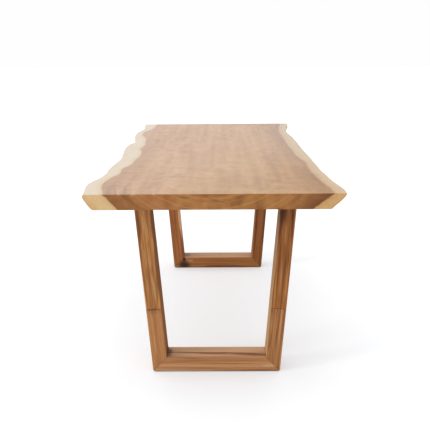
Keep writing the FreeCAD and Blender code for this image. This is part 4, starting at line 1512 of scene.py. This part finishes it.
FRONT_CUTS = {
    "foot_rail": Cut(
        (-0.11, 0.03), 1.0, (1.15, 1.27, 1.64), knots=(LEFT_CORNER_SHADE,), contrast=0.95,
        veins=level(
            RAIL_TOP,
            (-300, -588, 280, -610, 13.0, 1.00), (20, -603, 360, -622, 20.0, 0.90),
            # This pale streak near the front edge of the top is a painted highlight.
            (-178.5, -610, -36, -611, 6.0, -0.50)
        ) + upright(
            FRONT_FACE,
            # The first streak here, pale along the front 6 mm up, is a painted highlight on the bottom
            # arris.
            (-300, 6, 140, 6, 3.0, -0.50), (-157.5, 59, -32, 55, 3.4, 0.62),
            # The last streak here, dark along the front 4 mm up, is painted shade over the gap under the
            # rail.
            (-32, 55, 181, 43.6, 2.7, 0.50), (-60, 4, 330, 4, 5.0, 0.70),
            (175, 25, 245, 26, 10.0, -0.40)),
        # Painted light on the top face, full behind its front 35 mm.
        face_light_and_shade=(FaceLightAndShade(Facing.UP, 0.55, -0.640, -0.600),)),
    "top_rail": Cut((0.12, 0.02), 2.0, (0.9, 0.9, 0.9)),
    "left_leg_lower": Cut(
        (0.10, 0.11), 3.0, (1.12, 1.14, 1.24), 0.008, face_light_and_shade=(SHADY,), contrast=0.7,
        knots=(LEFT_CORNER_SHADE, Knot((-0.228, FRONT_FACE, 0.250), (0.045, 0.030, 0.018), 0.16)),
        veins=LEFT_SPLICE_STAIN + upright(
            FRONT_FACE,
            (-235, 265, -230, 219, 4.0, 0.50), (-229, 176, -219, 56, 4.0, -0.50),
            (-190, 190, -185, 113, 4.0, -0.60), (-209, 169, -202, 113, 3.0, 0.40))),
    "left_leg_upper": Cut(
        (0.07, 0.09), 4.0, (1.10, 1.09, 0.97), 0.016, face_light_and_shade=(SHADY,), contrast=1.3,
        veins=upright(
            FRONT_FACE,
            (-273, 680, -262, 500, 14.0, 1.00), (-279, 640, -245, 240, 8.0, 0.80),
            (-225, 700, -216, 500, 12.0, 0.90), (-220, 620, -202, 280, 10.0, 0.80),
            (-258, 652, -248, 529, 4.5, -0.60), (-244, 611, -233, 513, 4.5, -0.60),
            (-240, 525, -238, 494, 3.0, 0.90), (-257, 548, -251, 475, 4.0, 0.60),
            (-235, 513, -228, 398, 8.0, -0.45), (-231, 414, -224, 343, 4.5, -0.40),
            (-226, 425, -214, 255, 7.0, -0.65), (-223, 460, -220, 335, 3.0, 0.60),
            (-249, 445, -243, 355, 3.5, 0.50), (-214, 390, -206, 271, 3.5, 0.65),
            (-247, 394, -239, 296, 3.0, -0.40), (-242, 450, -232.5, 295, 3.4, 0.70)
        ) + LEFT_SPLICE_STAIN),
    "right_leg_lower": Cut(
        (-0.12, 0.10), 5.0, (0.92, 0.90, 0.90), 0.010, contrast=1.8,
        knots=(Knot((0.238, FRONT_FACE, 0.010), (0.012, 0.020, 0.014), 0.50),),
        veins=RIGHT_SPLICE_STREAKS + upright(
            FRONT_FACE,
            (224, 191, 201, 71, 4.0, 0.70), (241, 198, 216, 56, 3.5, 0.60),
            (233, 166, 217, 71, 3.0, -0.50), (249, 184, 241, 107, 3.0, -0.60),
            (217, 247, 213, 148, 5.0, -0.30)),
        # Painted light on its inner face: full below 0.26 m, gone by 0.40 m.
        face_light_and_shade=(FaceLightAndShade(Facing.LEFT, 0.85, 0.40, 0.26),)),
    "right_leg_upper": Cut(
        (-0.06, 0.11), 6.0, (0.90, 0.75, 0.51), 0.014, contrast=1.6,
        # The first two knots and the three broad dark streaks at the top of this leg are partly its own dark
        # wood and partly painted shade under the slab.
        knots=(
            Knot((0.247, FRONT_FACE, 0.645), (0.020, 0.030, 0.080), 0.65),
            Knot((0.285, FRONT_FACE, 0.640), (0.012, 0.030, 0.060), 0.45),
            Knot((0.246, FRONT_FACE, 0.275), (0.045, 0.030, 0.065), 0.14)),
        veins=upright(
            FRONT_FACE,
            (247, 692, 238, 494, 15.0, 1.00), (286, 685, 280, 470, 10.0, 1.00),
            (265, 730, 262, 560, 15.0, 0.80), (257, 631, 251, 541, 3.0, 0.50),
            (251, 590, 221, 195, 6.0, 0.80), (280, 600, 267, 330, 6.0, 0.80),
            (250, 430, 243, 290, 2.5, 0.60), (235, 541, 229, 458, 4.0, 0.50),
            (265, 609, 257, 481, 4.5, -0.70), (254, 500, 241, 290, 6.0, -0.80),
            (276, 469, 262, 280, 4.0, -0.75), (268, 520, 244, 200, 4.5, 0.85)
        ) + RIGHT_SPLICE_STREAKS,
        # Painted light and reflection on its inner face, in a pale colour of its own: full below 0.50 m,
        # gone by 0.80 m.
        face_light_and_shade=(FaceLightAndShade(Facing.LEFT, 0.85, 0.80, 0.50, (0.61, 0.44, 0.32)),)),
}

# A rear leg's two lengths follow each other in one log: their middles lie this far apart along
# it, and this far beside each other.
LENGTHS_APART = 0.351
LENGTHS_BESIDE = 0.00176
REAR_MITRE_STAIN = Knot((-0.180, REAR_FACE, 0.000), (0.075, 0.030, 0.013), 0.95)
# Painted light on the inner face of a rear left leg, full from 0.25 m up.
REAR_LEFT = {"veins": upright(REAR_FACE, (-212, 400, -191, 160, 7.0, -0.80)),
             "face_light_and_shade": (FaceLightAndShade(Facing.RIGHT, 0.90, 0.11, 0.25),)}
# Painted light on the inner face of a rear right leg, strongest at the foot and gone by 0.60 m.
REAR_RIGHT = {"veins": upright(REAR_FACE, (236, 560, 212, 60, 10.0, 0.90)),
              "face_light_and_shade": (FaceLightAndShade(Facing.LEFT, 0.22, 0.60, 0.05),),
              "tint": (0.69, 0.53, 0.335), "contrast": 1.8}
REAR_CUTS = {
    "foot_rail": Cut(
        (-0.12, 0.02), 11.0, (0.86, 0.76, 0.60),
        knots=(
            REAR_MITRE_STAIN,
            Knot((-0.180, REAR_FACE, 0.018), (0.046, 0.040, 0.034), 0.9),
            Knot((-0.180, REAR_FACE, 0.050), (0.012, 0.030, 0.018), 0.9),
            Knot((-0.166, 0.595, RAIL_TOP), (0.030, 0.040, 0.010), 0.45),
            Knot((0.020, 0.600, RAIL_TOP), (0.008, 0.008, 0.010), 0.6)),
        veins=upright(REAR_FACE, (-200, 8, 300, 8, 12.0, 0.90), (-175, 44, -120, 40, 10.0, -0.30)),
        # Painted light on the top face.
        face_light_and_shade=(FaceLightAndShade(Facing.UP, 0.28, 0.520, 0.550),)),
    "top_rail": Cut((0.12, 0.02), 12.0, (0.9, 0.9, 0.9)),
    "left_leg_lower": Cut((-0.10, -0.11), 13.0, (0.87, 0.71, 0.57), knots=(REAR_MITRE_STAIN,), **REAR_LEFT),
    "left_leg_upper": Cut((-0.10 - LENGTHS_BESIDE, -0.11), 13.0 + LENGTHS_APART, (0.83, 0.68, 0.535),
                          **REAR_LEFT),
    "right_leg_lower": Cut((-0.11, 0.09), 15.0, **REAR_RIGHT),
    "right_leg_upper": Cut((-0.11 + LENGTHS_BESIDE, 0.09), 15.0 + LENGTHS_APART, **REAR_RIGHT),
}


def dress_fittings(end: End) -> None:
    """Puts their finishes on the small pieces inside and under one frame."""
    word = end.value
    steel = Metal(f"{word}_plated_steel", (0.62, 0.62, 0.60), 0.34, 0.05).material()
    brass = Metal(f"{word}_turned_brass", (0.72, 0.50, 0.20), 0.30, 0.06).material()
    beech = PlainWood(f"{word}_joinery_beech", (0.62, 0.43, 0.26), (0.46, 0.29, 0.16)).material()
    nylon = Nylon(f"{word}_glide_nylon", (0.035, 0.026, 0.020), (0.11, 0.09, 0.075)).material()
    finishes = {"mitre_tenons": beech, "splice_dowels": beech, "top_rail_bolts": steel,
                "top_rail_washers": steel, "threaded_inserts": brass, "glides": nylon,
                "glide_nails": steel}
    for part, material in finishes.items():
        dress(f"{word}_{part}", material)


def main() -> None:
    """Builds the table and its studio in order."""
    logging.basicConfig(level=logging.INFO, format="%(message)s")
    slab = LiveEdgeSlab(LEFT_EDGE, RIGHT_EDGE, SLAB_WOOD).build()
    log.info("%s: %d faces", slab.name, len(slab.data.polygons))
    EndFrame(End.FRONT, TIMBER_TONES).build(FRONT_CUTS)
    EndFrame(End.REAR, REAR_TONES, splice_dark=0.15).build(REAR_CUTS)
    for end in End:
        dress_fittings(end)
    Studio().build()


if __name__ == "__main__":
    main()
